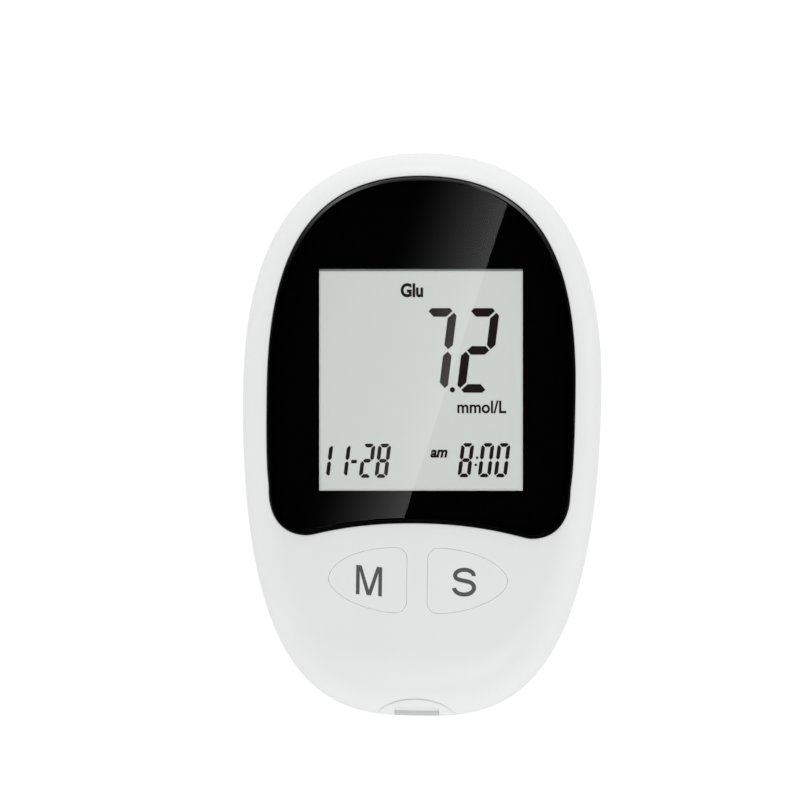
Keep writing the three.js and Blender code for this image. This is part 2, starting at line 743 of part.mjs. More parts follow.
const buzzerRadius = 4.6;
const buzzerHeight = 3;
const buzzerHoleRadius = 0.8;
function makeBuzzer() {
  const [x, y] = sidePlace(1, 0.64);
  const topZ = boardBottomZ - filmGap;
  return rod(buzzerRadius, x, y, topZ - buzzerHeight, topZ).subtract(
    rod(buzzerHoleRadius, x, y, topZ - buzzerHeight - overrun, topZ - buzzerHeight / 2),
  );
}
const crystalRadius = 1;
const crystalLength = 6;
function makeCrystal() {
  const [x, y] = sidePlace(-1, 0.21);
  const can = new THREE.CylinderGeometry(crystalRadius, crystalRadius, crystalLength, roundSteps);
  return solidOf(can.rotateZ(Math.PI / 2)
    .translate(x, y, boardBottomZ - filmGap - crystalRadius));
}

// A dry cell, its raised end at +Y in its own frame and its flat end at the origin
function makeCell(x, flatY, direction) {
  const radius = cellDiameter / 2;
  const profile = [
    at(0, 0), at(radius - cellShoulder, 0), at(radius, cellShoulder),
    at(radius, cellLength - cellNubHeight - cellShoulder),
    at(radius - cellShoulder, cellLength - cellNubHeight),
    at(cellNubRadius, cellLength - cellNubHeight),
    at(cellNubRadius, cellLength), at(0, cellLength),
  ];
  const geometry = new THREE.LatheGeometry(profile, roundSteps + 4);
  if (direction < 0) geometry.rotateX(Math.PI);
  return solidOf(geometry.translate(x, flatY, cellZ));
}

// Battery contacts: sprung plates in the tray's end walls
const cellX = (cellSpacing + cellDiameter) / 2;
const plateLowY = trayLowY + gap;
const plateHighY = trayEndY - gap;
const contactLowZ = cellZ - contactHeight / 2;
const contactHighZ = cellZ + contactHeight / 2;
function dimple(x, y, direction) {
  const cone = new THREE.CylinderGeometry(
    contactDimpleRadius / 2, contactDimpleRadius, contactDimple, roundSteps,
  );
  if (direction < 0) cone.rotateX(Math.PI);
  return solidOf(cone.translate(x, y + direction * contactDimple / 2, cellZ));
}
function makeNosePlate(side) {
  const x = side * cellX;
  const faceY = plateLowY + contactThickness;
  const plate = block([x - contactWidth / 2, plateLowY, contactLowZ],
    [x + contactWidth / 2, faceY, contactHighZ]);
  const tab = block([x - tabWidth / 2, plateLowY, contactHighZ - contactThickness],
    [x + tabWidth / 2, faceY, boardBottomZ - filmGap]);
  return side > 0 ? joined([plate, tab, dimple(x, faceY, 1)]) : plate.add(tab);
}
function makeBridgePlate() {
  const faceY = plateHighY - contactThickness;
  return bar(2 * cellX + contactWidth, faceY, plateHighY, contactLowZ, contactHighZ)
    .add(dimple(-cellX, faceY, -1));
}

// A tapering coil of round wire, as one unbroken tube from its base plate towards the cell
const springRise = springRoom - gap - 2 * (springWireRadius + filmGap);
const springSteps = springTurns * springStepsPerTurn;
function springPoint(x, baseY, direction, step) {
  const share = step / springSteps;
  const angle = share * springTurns * 2 * Math.PI;
  const radius = springBaseRadius + (springTipRadius - springBaseRadius) * share;
  return new THREE.Vector3(
    x + radius * Math.cos(angle),
    baseY + direction * (springWireRadius + filmGap + springRise * share),
    cellZ + direction * radius * Math.sin(angle),
  );
}
function makeSpring(x, baseY, direction) {
  const positions = [];
  const index = [];
  for (let step = 0; step <= springSteps; step++) {
    const middle = springPoint(x, baseY, direction, step);
    const along = springPoint(x, baseY, direction, step + 1)
      .sub(springPoint(x, baseY, direction, step - 1)).normalize();
    const outwards = new THREE.Vector3(middle.x - x, 0, middle.z - cellZ).normalize();
    const across = new THREE.Vector3().crossVectors(along, outwards).normalize();
    const outer = new THREE.Vector3().crossVectors(across, along);
    for (let side = 0; side < springSides; side++) {
      const angle = side / springSides * 2 * Math.PI;
      const point = middle.clone()
        .addScaledVector(outer, springWireRadius * Math.cos(angle))
        .addScaledVector(across, springWireRadius * Math.sin(angle));
      positions.push(point.x, point.y, point.z);
    }
  }
  for (let step = 0; step < springSteps; step++) {
    for (let side = 0; side < springSides; side++) {
      const next = (side + 1) % springSides;
      const [a, b] = [step * springSides + side, step * springSides + next];
      index.push(a, b, b + springSides, a, b + springSides, a + springSides);
    }
  }
  const last = springSteps * springSides;
  for (let side = 1; side + 1 < springSides; side++) {
    index.push(0, side + 1, side, last, last + side, last + side + 1);
  }
  const geometry = new THREE.BufferGeometry();
  geometry.setAttribute('position', new THREE.Float32BufferAttribute(positions, axes));
  geometry.setIndex(index);
  return solidOf(geometry);
}

// The least gap between a spring's turns, measured on points of its wire half a turn or more apart
function springGap() {
  let least = Infinity;
  for (let low = 0; low <= springSteps; low++) {
    for (let high = low + springStepsPerTurn / 2; high <= springSteps; high++) {
      const apart = springPoint(0, 0, 1, low).distanceTo(springPoint(0, 0, 1, high));
      least = Math.min(least, apart - 2 * springWireRadius);
    }
  }
  return least;
}
console.log(`least gap between the battery springs' turns: ${springGap().toFixed(2)} mm`);

// A self-tapping screw with a round head and a crossed drive, pointing up from its seat
function makeScrew([x, y], seatZ, head, shank, drive) {
  const recess = (wide, long) => block([x - wide, y - long, seatZ - head.height - overrun],
    [x + wide, y + long, seatZ - head.height + drive.depth]);
  return cut(
    rod(head.radius, x, y, seatZ - head.height, seatZ)
      .add(rod(shank.radius, x, y, seatZ - head.height / 2, seatZ + shank.length)),
    [recess(drive.slot / 2, drive.reach), recess(drive.reach, drive.slot / 2)],
  );
}
const makeHousingScrew = (place) => makeScrew(
  place, counterboreDepth - filmGap,
  { radius: screwHeadRadius, height: screwHeadHeight },
  { radius: screwShankRadius, length: columnTopZ + gap + screwGrip - counterboreDepth },
  { slot: driveSlot, reach: driveReach, depth: driveDepth },
);
const makeBoardScrew = (place) => makeScrew(
  place, boardBottomZ - filmGap,
  { radius: boardScrewHeadRadius, height: boardScrewHeadHeight },
  { radius: boardScrewShankRadius, length: boardThickness + 2 * filmGap + boardScrewGrip },
  { slot: boardDriveSlot, reach: boardDriveReach, depth: boardDriveDepth },
);

// Strip port insert: it fills the notch in the front cover, a step below the face, with the slot
function makePortInsert() {
  const wide = prism(
    new THREE.EllipseCurve(0, portArcY, portArcRadius - gap, portArcRadius - gap, 0, 2 * Math.PI)
      .getPoints(4 * roundSteps).slice(0, -1),
    portFloorZ, faceZ,
  );
  const nose = frontVolume(0, frontDepth - portRecess).intersect(wide).intersect(above(portFloorZ));
  const low = bar(portBlockWidth, -bodyLength, portInnerY, portFloorZ, portBlockTopZ)
    .intersect(envelope);
  const flange = bar(flangeWidth, flangeY, portInnerY, portFloorZ, portBlockTopZ)
    .intersect(frontVolume(wall + gap, frontDepth - wall - gap, overrun));
  return cut(joined([nose, low, flange]), [
    bar(slotWidth, -bodyLength, portInnerY + overrun, slotLowZ, slotHighZ),
    bar(slotWidth, -bodyLength, -halfLength + slotNotch, slotLowZ, faceZ + overrun),
  ]);
}

// Strip connector: a housing under the board whose slot lines up with the insert's
const contactXs = Array.from({ length: stripContacts }, (_, i) => (
  (i - (stripContacts - 1) / 2) * stripContactPitch
));
const leafTopZ = connectorTopZ - gap;
function makeConnector() {
  return cut(
    bar(connectorWidth, connectorLowY, connectorHighY, portFloorZ + filmGap, connectorTopZ),
    [
      bar(slotWidth, connectorLowY - overrun, connectorHighY - connectorBack, slotLowZ, slotHighZ),
      ...contactXs.map((x) => block(
        [x - stripContactWidth / 2 - gap / 2, connectorLowY + connectorBack, slotLowZ + gap],
        [x + stripContactWidth / 2 + gap / 2, connectorHighY + overrun, leafTopZ + gap / 2],
      )),
    ],
  );
}

// A contact leaf: it runs forward under the housing's roof and bows down onto the strip
function makeLeaf(x) {
  const t = stripContactThickness;
  const tipY = connectorLowY + connectorBack + gap;
  const run = connectorLength - connectorBack;
  const bowZ = slotLowZ + gap + t;
  const spine = [
    at(tipY, leafTopZ - t),
    at(tipY + stripContactTouchShare * run, bowZ),
    at(tipY + stripContactReturnShare * run, leafTopZ - t / 2),
    at(connectorHighY + stripContactTail, leafTopZ - t / 2),
  ];
  const lower = spine.map((point) => at(point.x, point.y - t / 2));
  const upper = spine.map((point) => at(point.x, point.y + t / 2)).reverse();
  const shape = new THREE.Shape([...lower, ...upper]);
  const geometry = new THREE.ExtrudeGeometry(shape, {
    depth: stripContactWidth, bevelEnabled: false,
  });
  geometry.applyMatrix4(new THREE.Matrix4().makeBasis(
    new THREE.Vector3(0, 1, 0), new THREE.Vector3(0, 0, 1), new THREE.Vector3(1, 0, 0),
  ));
  return solidOf(geometry.translate(x - stripContactWidth / 2, 0, 0));
}

const meter = new THREE.Group();
function add(name, solid, material) {
  const mesh = new THREE.Mesh(geometryOf(solid), material);
  mesh.name = name;
  meter.add(mesh);
}

add('front_cover', makeFrontCover(), white);
add('rear_cover', makeRearCover(), white);
add('battery_door', makeBatteryDoor(), white);
add('display_window', makeWindowPlate(), clear);
add('window_print', makeWindowPrint(), blackPrint);
add('strip_port_insert', makePortInsert(), white);
for (const [side, name] of [[-1, 'memory'], [1, 'set']]) {
  add(`${name}_button`, makeButton(side), white);
  add(`${name}_switch_body`, makeSwitchBody(side), chipBlack);
  add(`${name}_switch_plunger`, makePlunger(side), innerPlastic);
}
add('display_reflector', makeReflector(), reflector);
add('display_rear_glass', makeRearGlass(), lcdGlass);
add('display_front_glass', makeFrontGlass(), lcdGlass);
add('display_frame', makeDisplayFrame(), innerPlastic);
add('display_connector_strip', makeZebra(), zebra);
add('circuit_board', makeBoard(), boardGreen);
for (const [name, chip] of Object.entries(chips)) add(name, makeChip(chip), chip.material);
add('buzzer', makeBuzzer(), chipBlack);
add('clock_crystal', makeCrystal(), steel);
add('strip_connector', makeConnector(), chipBlack);
contactXs.forEach((x, i) => add(`strip_contact_${i + 1}`, makeLeaf(x), brass));
const springFaceY = plateLowY + contactThickness;
const bridgeFaceY = plateHighY - contactThickness;
add('battery_cell_1', makeCell(-cellX, springFaceY + springRoom, 1), cellJacket);
add('battery_cell_2', makeCell(cellX, bridgeFaceY - springRoom, -1), cellJacket);
add('battery_spring_1', makeSpring(-cellX, springFaceY, 1), steel);
add('battery_spring_2', makeSpring(cellX, bridgeFaceY, -1), steel);
add('battery_plate_negative', makeNosePlate(-1), steel);
add('battery_plate_positive', makeNosePlate(1), steel);
add('battery_bridge_plate', makeBridgePlate(), steel);
bossPlaces.forEach((place, i) => add(`housing_screw_${i + 1}`, makeHousingScrew(place), steel));
postPlaces.forEach((place, i) => add(`board_screw_${i + 1}`, makeBoardScrew(place), steel));

export default meter;
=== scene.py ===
"""Looks of a hand-held blood glucose meter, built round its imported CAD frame, in metres."""
import math

import bpy
import numpy as np
from mathutils import Matrix, Vector


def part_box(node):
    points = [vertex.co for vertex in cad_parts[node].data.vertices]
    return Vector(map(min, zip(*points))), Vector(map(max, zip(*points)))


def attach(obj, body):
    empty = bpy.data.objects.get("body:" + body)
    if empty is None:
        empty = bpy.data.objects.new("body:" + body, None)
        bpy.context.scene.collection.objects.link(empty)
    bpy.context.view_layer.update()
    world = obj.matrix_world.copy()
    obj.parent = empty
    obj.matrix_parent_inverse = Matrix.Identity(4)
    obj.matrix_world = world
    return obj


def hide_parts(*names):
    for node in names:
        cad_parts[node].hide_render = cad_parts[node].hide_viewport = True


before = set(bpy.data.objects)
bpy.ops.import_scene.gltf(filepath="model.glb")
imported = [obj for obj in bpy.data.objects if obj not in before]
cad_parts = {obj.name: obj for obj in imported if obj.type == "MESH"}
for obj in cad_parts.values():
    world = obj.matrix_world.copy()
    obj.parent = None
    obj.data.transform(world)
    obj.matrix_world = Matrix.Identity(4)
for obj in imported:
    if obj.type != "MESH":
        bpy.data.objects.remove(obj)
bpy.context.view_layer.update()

# Front cover
# The real piece is a shell of white ABS with a fine satin texture, moulded in one shot with the
# recess for the window, the two button holes, an arch at the strip port and its screw bosses.
# It is pulled down onto the rear cover by four screws that come in from the back.
MM = 0.001
WALL = 1.8
GAP = 0.3
FILM = 0.05
OVERRUN = 2
PARTING_Z = 11.0
PARTING_HALF_GAP = 0.15
FACE_Z = 21.5
INNER_FACE_Z = FACE_Z - WALL
HALF_WIDTH = 30.0
HALF_LENGTH = 47.1
BEYOND = 2 * HALF_LENGTH
WIDEST_Y = 7.5
NOSE_REACH = WIDEST_Y + HALF_LENGTH
TOP_REACH = HALF_LENGTH - WIDEST_Y
SIDE_ROLL = 5.5
NOSE_ROLL = 12.0
NOSE_ROLL_POWER = 4
FRONT_POWER = 2.6
FRONT_DEPTH = FACE_Z - PARTING_Z
EDGE_ROUND = 0.15


def bezier(points, steps):
    """Points at equal distances along a cubic curve, its two ends included."""
    start, out, back, end = (np.array(point, float) for point in points)
    t = np.linspace(0, 1, 2001)[:, None]
    curve = ((1 - t) ** 3 * start + 3 * (1 - t) ** 2 * t * out
             + 3 * (1 - t) * t ** 2 * back + t ** 3 * end)
    run = np.concatenate([[0], np.cumsum(np.linalg.norm(np.diff(curve, axis=0), axis=1))])
    stops = np.linspace(0, run[-1], steps + 1)
    return np.stack([np.interp(stops, run, curve[:, axis]) for axis in (0, 1)], axis=1)


def mirrored(pieces):
    """The right half of a loop, from its lowest point to its highest, and its mirror image."""
    half = np.concatenate([*(piece[:-1] for piece in pieces), pieces[-1][-1:]])
    left = half[-2:0:-1] * [-1, 1]
    return np.concatenate([half, left])


def grown(loop, distance):
    """The loop moved outwards, by one distance or by one for each point."""
    along = np.roll(loop, -1, axis=0) - np.roll(loop, 1, axis=0)
    along /= np.linalg.norm(along, axis=1)[:, None]
    outwards = np.stack([along[:, 1], -along[:, 0]], axis=1)
    return loop + outwards * np.reshape(distance, (-1, 1))


def placed(name, points, faces):
    """A mesh object from points in millimetres."""
    mesh = bpy.data.meshes.new(name)
    mesh.from_pydata([tuple(point) for point in np.asarray(points) * MM], [], faces)
    made = bpy.data.objects.new(name, mesh)
    bpy.context.scene.collection.objects.link(made)
    return made


def skin(rings):
    """Points and faces over rings of one length, each a loop and its height, the lowest first."""
    count = len(rings[0][0])
    points = np.concatenate([
        np.column_stack([loop, np.broadcast_to(height, count)]) for loop, height in rings
    ])
    faces = []
    for low in range(0, len(points) - count, count):
        for i in range(count):
            after = (i + 1) % count
            faces.append((low + i, low + after, low + after + count, low + i + count))
    faces.append(tuple(range(count - 1, -1, -1)))
    faces.append(tuple(range(len(points) - count, len(points))))
    return points, faces


def loft(name, rings):
    return placed(name, *skin(rings))


def prism(name, loop, low, high):
    return loft(name, [(loop, low), (loop, high)])


def rectangle(low, high):
    return np.array([(low[0], low[1]), (high[0], low[1]), (high[0], high[1]), (low[0], high[1])])


def block(name, low, high):
    return prism(name, rectangle(low, high), low[2], high[2])


def bar(name, width, low_y, high_y, low_z, high_z):
    return block(name, (-width / 2, low_y, low_z), (width / 2, high_y, high_z))


def circle(radius, x, y, steps=48):
    turn = np.arange(steps) / steps * 2 * math.pi
    return np.stack([x + radius * np.cos(turn), y + radius * np.sin(turn)], axis=1)


def rods(name, radius, places, low, high):
    return [prism(name, circle(radius, *place), low, high) for place in places]


def settled(piece):
    """The piece with its modifiers worked into one plain mesh."""
    bpy.context.view_layer.update()
    graph = bpy.context.evaluated_depsgraph_get()
    mesh = bpy.data.meshes.new_from_object(piece.evaluated_get(graph))
    piece.modifiers.clear()
    piece.data = mesh
    mesh.name = piece.name
    return piece


def carved(piece, *steps):
    """The piece after each step in turn: DIFFERENCE, UNION or INTERSECT with some solids."""
    for operation, tools in steps:
        for tool in tools:
            modifier = piece.modifiers.new(tool.name, "BOOLEAN")
            modifier.operation = operation
            modifier.solver = "MANIFOLD"
            modifier.object = tool
    settled(piece)
    for _, tools in steps:
        for tool in tools:
            bpy.data.objects.remove(tool)
    return piece


def smoothed(piece, angle=32):
    """Smooth shading that keeps hard edges, with flat faces left flat beside their rounded rims."""
    piece.data.shade_smooth()
    piece.data.set_sharp_from_angle(angle=math.radians(angle))
    modifier = piece.modifiers.new("even shading", "WEIGHTED_NORMAL")
    modifier.keep_sharp = True
    modifier.weight = 100
    return settled(piece)


def by_node(operation):
    return lambda self, *others: self.maths(operation, *others)


class Value:
    """A socket that takes part in Python expressions, each of which adds its Math node."""

    def __init__(self, nodes, socket):
        self.nodes = nodes
        self.socket = socket

    def maths(self, operation, *others):
        values = dict(enumerate([self, *others]))
        return self.nodes.node("ShaderNodeMath", {"operation": operation}, values)

    def __rsub__(self, other):
        return self * -1.0 + other

    __add__ = __radd__ = by_node("ADD")
    __sub__ = by_node("SUBTRACT")
    __mul__ = __rmul__ = by_node("MULTIPLY")
    __truediv__ = by_node("DIVIDE")
    __pow__ = by_node("POWER")
    __gt__ = by_node("GREATER_THAN")
    __lt__ = by_node("LESS_THAN")
    __abs__ = by_node("ABSOLUTE")
    at_least = by_node("MAXIMUM")
    at_most = by_node("MINIMUM")
    fraction = by_node("FRACT")


class Nodes:
    """A node tree that is written as calls and expressions."""

    def __init__(self, tree):
        self.tree = tree

    def node(self, kind, settings=(), sockets=(), output=0):
        """Adds a node: its settings first, and then the values or links of its sockets."""
        made = self.tree.nodes.new(kind)
        for name, value in dict(settings).items():
            setattr(made, name, value)
        for key, value in dict(sockets).items():
            for one in value if isinstance(value, list) else [value]:
                if isinstance(one, Value):
                    self.tree.links.new(one.socket, made.inputs[key])
                else:
                    made.inputs[key].default_value = one
        return Value(self, made.outputs[output]) if made.outputs else None

    def point(self):
        return self.node("ShaderNodeTexCoord", output="Object")

    def axes(self, vector=None):
        """The X, Y and Z of a vector, or else of the point, in metres."""
        vector = vector or self.point()
        return [self.node("ShaderNodeSeparateXYZ", (), {0: vector}, axis) for axis in range(3)]

    def vector(self, x=0.0, y=0.0, z=0.0):
        return self.node("ShaderNodeCombineXYZ", (), {0: x, 1: y, 2: z})

    def noise(self, size, detail=2.0, vector=None):
        """A random value from 0 to 1 that changes over about the given size in millimetres."""
        return self.node("ShaderNodeTexNoise", (), {
            "Vector": vector or self.point(), "Scale": 1 / (size * MM), "Detail": detail,
        })

    def mix(self, share, low, high):
        """A colour between two others."""
        return self.node("ShaderNodeMix", {"data_type": "RGBA"},
                         {0: share, 6: opaque(low), 7: opaque(high)}, 2)

    def bump(self, height, depth):
        """A normal from a height of 0 to 1, with its full depth in millimetres."""
        return self.node("ShaderNodeBump", (), {
            "Strength": 1.0, "Distance": depth * MM, "Height": height,
        })

    def solid(self, colour, roughness, normal=None, metallic=0.0, specular=0.5):
        """A solid surface, matt or glossy, plastic or metal."""
        sockets = {"Base Color": colour, "Roughness": roughness, "Metallic": metallic,
                   "Specular IOR Level": specular}
        if normal:
            sockets["Normal"] = normal
        return self.node("ShaderNodeBsdfPrincipled", (), sockets)

    def glint(self, ior):
        """How strongly clear glass mirrors at each angle, seen from outside alone."""
        outside = 1 - self.node("ShaderNodeNewGeometry", output="Backfacing")
        return outside * self.node("ShaderNodeFresnel", (), {"IOR": ior})

    def glow(self, strength):
        return self.node("ShaderNodeEmission", (), {
            "Color": (1.0, 1.0, 1.0, 1.0), "Strength": strength,
        })

    def seen(self, kind):
        """1 for the rays of one kind, Camera, Glossy or Transmission, and 0 for others."""
        return self.node("ShaderNodeLightPath", output=f"Is {kind} Ray")

    def blend(self, share, first, second):
        return self.node("ShaderNodeMixShader", (), {0: share, 1: first, 2: second})

    def moved(self, geometry, z):
        return self.node("GeometryNodeTransform", (), {
            "Geometry": geometry, "Translation": self.vector(z=z),
        })

    def ring(self, steps, radius):
        return self.node("GeometryNodeCurvePrimitiveCircle", (), {
            "Resolution": steps, "Radius": radius,
        })

    def swept(self, line, section, scale=1.0):
        return self.node("GeometryNodeCurveToMesh", (), {
            "Curve": line, "Profile Curve": section, "Scale": scale, "Fill Caps": True,
        })


def opaque(colour):
    return colour if isinstance(colour, Value) else (*colour, 1.0)


def finish(name, surface):
    """A material whose surface a function writes as nodes."""
    material = bpy.data.materials.new(name)
    material.use_nodes = True
    material.node_tree.nodes.clear()
    nodes = Nodes(material.node_tree)
    nodes.node("ShaderNodeOutputMaterial", (), {"Surface": surface(nodes)})
    return material


def dressed(piece, material, body, replaced=()):
    """Gives a finished piece its material and its body, and hides the CAD parts that it stands for.
    """
    if material:
        piece.data.materials.clear()
        piece.data.materials.append(material)
    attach(piece, body)
    if replaced:
        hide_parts(*replaced)
    return piece


def moulded(name, colour, roughness, grain_size, grain_depth):
    """Moulded plastic: a slow drift in tone and gloss, and the mould's fine spark texture."""
    def surface(nodes):
        slow = nodes.noise(18)
        grain = nodes.noise(grain_size, 1)
        tones = (np.multiply(colour, share).tolist() for share in (0.985, 1.015))
        return nodes.solid(nodes.mix(slow, *tones),
                           roughness - 0.05 + 0.06 * slow + 0.05 * grain,
                           nodes.bump(grain, grain_depth))
    return finish(name, surface)


def printed(name, noise, low, high, roughness, specular=0.5):
    """A thin print that is a little uneven in tone and gloss."""
    def surface(nodes):
        mottle = nodes.noise(*noise)
        return nodes.solid(nodes.mix(mottle, low, high), roughness[0] + roughness[1] * mottle,
                           specular=specular)
    return finish(name, surface)


body_loop = mirrored([
    bezier([(0, -HALF_LENGTH), (0.38 * HALF_WIDTH, -HALF_LENGTH),
            (HALF_WIDTH, WIDEST_Y - 1.01 * NOSE_REACH), (HALF_WIDTH, WIDEST_Y)], 72),
    bezier([(HALF_WIDTH, WIDEST_Y), (HALF_WIDTH, WIDEST_Y + 0.68 * TOP_REACH),
            (0.65 * HALF_WIDTH, HALF_LENGTH), (0, HALF_LENGTH)], 60),
])


def front_roll(y):
    """How far the front edge rolls inwards, further towards the nose."""
    to_nose = np.maximum(0, (WIDEST_Y - np.asarray(y)) / NOSE_REACH)
    return SIDE_ROLL + (NOSE_ROLL - SIDE_ROLL) * to_nose ** NOSE_ROLL_POWER


# Each half of the housing is given by its side of the parting plane, its depth, how far its edge
# rolls in, and how square that roll is.
FRONT = (1, FRONT_DEPTH, front_roll(body_loop[:, 1]), FRONT_POWER)


def rounded(loop, out, top, drop, steps=5):
    """Rings of a quarter round, which starts a drop below its top and ends so far out."""
    return [(grown(loop, out * (1 - math.cos(angle))), top - drop * (1 - math.sin(angle)))
            for angle in np.linspace(0, math.pi / 2, steps)]


def half_rings(half, inset, sunk, steps):
    """Rings of one half, from the parting plane to a face that is sunk below its own."""
    side, depth, roll, power = half
    rings = []
    for angle in np.linspace(0, math.pi / 2, steps + 1):
        inwards = 1 - max(0, math.cos(angle)) ** (2 / power)
        rings.append((grown(body_loop, -inset - roll * inwards),
                      PARTING_Z + side * (depth - sunk) * math.sin(angle) ** (2 / power)))
    return rings


def volume(name, half, inset, past=0.0, sunk=None, steps=24):
    """What lies an inset inside one half, and some way past the parting plane."""
    side = half[0]
    rings = half_rings(half, inset, inset if sunk is None else sunk, steps)
    if past:
        rings.insert(0, (grown(body_loop, -inset), PARTING_Z - side * past))
    return loft(name, rings[::side])


def cover_skin(name, half):
    """The outside of one half, its edge rounded where it meets the other."""
    side = half[0]
    rim_z = PARTING_Z + side * PARTING_HALF_GAP
    rings = rounded(body_loop, -EDGE_ROUND, rim_z, -side * EDGE_ROUND, 4)[::-1]
    rings += [ring for ring in half_rings(half, 0, 0, 36)
              if side * (ring[1] - rim_z) > 1.5 * EDGE_ROUND]
    return loft(name, rings[::side])


def front_height(points):
    """The height of the front face over each point, from its distance to the outline."""
    to_edge = np.linalg.norm(points[:, None] - body_loop[None], axis=2)
    nearest = to_edge.argmin(axis=1)
    roll = front_roll(body_loop[nearest, 1])
    share = np.clip(1 - to_edge.min(axis=1) / roll, 0, 1)
    angle = np.arccos(share ** (FRONT_POWER / 2))
    return PARTING_Z + FRONT_DEPTH * np.sin(angle) ** (2 / FRONT_POWER)


def flared(name, loop, low, heights, rim):
    """A cutter that opens out in a quarter round where it leaves the face."""
    return loft(name, [(loop, low), *rounded(loop, rim, heights, rim),
                       (grown(loop, rim), heights + OVERRUN)])


WINDOW_HALF = 25.7
WINDOW_TOP_Y = 43.1
WINDOW_LOW_Y = -17.05
CORNER = (18.6, WINDOW_LOW_Y)
FLANK = (25.1, -9.45)
ARCH_Y = -14.75
window_loop = mirrored([
    bezier([(0, ARCH_Y), (11.4, ARCH_Y), (CORNER[0] - 1.05, CORNER[1]), CORNER], 28),
    bezier([CORNER, (CORNER[0] + 4.4, CORNER[1]), (FLANK[0], FLANK[1] - 4.4), FLANK], 22),
    bezier([FLANK, (FLANK[0], FLANK[1] + 1.9), (WINDOW_HALF, WIDEST_Y - 15.8),
            (WINDOW_HALF, WIDEST_Y)], 20),
    bezier([(WINDOW_HALF, WIDEST_Y), (WINDOW_HALF, WIDEST_Y + 0.58 * (WINDOW_TOP_Y - WIDEST_Y)),
            (0.79 * WINDOW_HALF, WINDOW_TOP_Y), (0, WINDOW_TOP_Y)], 60),
])

LEDGE_LOW_Z = 18.95
LEDGE_TOP_Z = 20.05
RECESS_RIM = 0.12
DISPLAY_MIDDLE = (-0.07, 9.14)
DISPLAY_TURN = math.radians(0.905)
VIEW_HALF_WIDTH = 16.97
VIEW_HALF_HEIGHT = 18.47
VIEW_LIP = 0.15
VIEW_STEP = 0.33


def on_display(points):
    """Points of the display, which is laid level beside the housing's slight turn."""
    x, y = np.asarray(points, float).T
    across = np.array([math.cos(DISPLAY_TURN), math.sin(DISPLAY_TURN)])
    up = np.array([-across[1], across[0]])
    return DISPLAY_MIDDLE + np.outer(x, across) + np.outer(y, up)


def display_block(name, half_width, low, high, low_z, high_z):
    """A block that is square to the display, between two distances from its middle."""
    corners = rectangle((-half_width, low), (half_width, high))
    return prism(name, on_display(corners), low_z, high_z)


BUTTON_INNER_X = {-1: 2.02, 1: 1.68}
BUTTON_MIDDLE_X = 3.75
BUTTON_REACH = 11.05
BUTTON_FULLNESS = {-1: (1.69, 1.97), 1: (1.69, 1.82)}
BUTTON_HALF_HEIGHT = 5.3
BUTTON_CORNER = 1.7
BUTTON_Y = -24.3
BUTTON_HOLE_GROWTH = 0.15
BUTTON_RIM = 0.07


def arc(middle, reach, start, end, steps):
    turn = np.linspace(math.radians(start), math.radians(end), steps + 1)
    return np.stack([middle[0] + reach[0] * np.cos(turn),
                     middle[1] + reach[1] * np.sin(turn)], axis=1)


def button_loop(side, growth):
    """A button's outline: a lean half ellipse outwards and a straight inner side, corners round."""
    corner_x = BUTTON_INNER_X[side] + BUTTON_CORNER
    corner = (BUTTON_CORNER, BUTTON_CORNER)
    rise = BUTTON_HALF_HEIGHT - BUTTON_CORNER
    turn = np.linspace(-math.pi / 2, math.pi / 2, 57)
    power = 2 / np.where(turn < 0, *BUTTON_FULLNESS[side])
    out = np.maximum(np.cos(turn), 0) ** power
    up = np.sign(turn) * abs(np.sin(turn)) ** power
    loop = np.concatenate([
        np.stack([BUTTON_MIDDLE_X + BUTTON_REACH * out, BUTTON_Y + BUTTON_HALF_HEIGHT * up], axis=1),
        arc((corner_x, BUTTON_Y + rise), corner, 90, 180, 12),
        arc((corner_x, BUTTON_Y - rise), corner, 180, 270, 12),
    ])
    loop = grown(loop, growth)
    return loop if side > 0 else (loop * [-1, 1])[::-1]


SCREW_PLACES = [(-21.9, 22.0), (21.9, 22.0), (-15.0, -33.0), (15.0, -33.0)]
POST_PLACES = [(-16.5, 33.0), (16.5, 33.0), (-18.4, BUTTON_Y), (18.4, BUTTON_Y)]
BOSS_RADIUS = 2.3
BOSS_LOW_Z = 9.3
BOSS_BORE = 1.25
POST_RADIUS = 2.2
POST_BORE = 1.0
BOARD_TOP_Z = 15.7
PORT_ARCH = (-0.1, -48.05)
PORT_ARCH_REACH = (7.05, 4.05)
PORT_ARCH_RIM = 0.3
PORT_INNER_Y = -43.4
PORT_BLOCK_WIDTH = 12.6
PORT_BLOCK_TOP_Z = 14.0
LIP_HEIGHT = 1.2
LIP_INSET = 1.0
BOSS_ROOM = 2.5

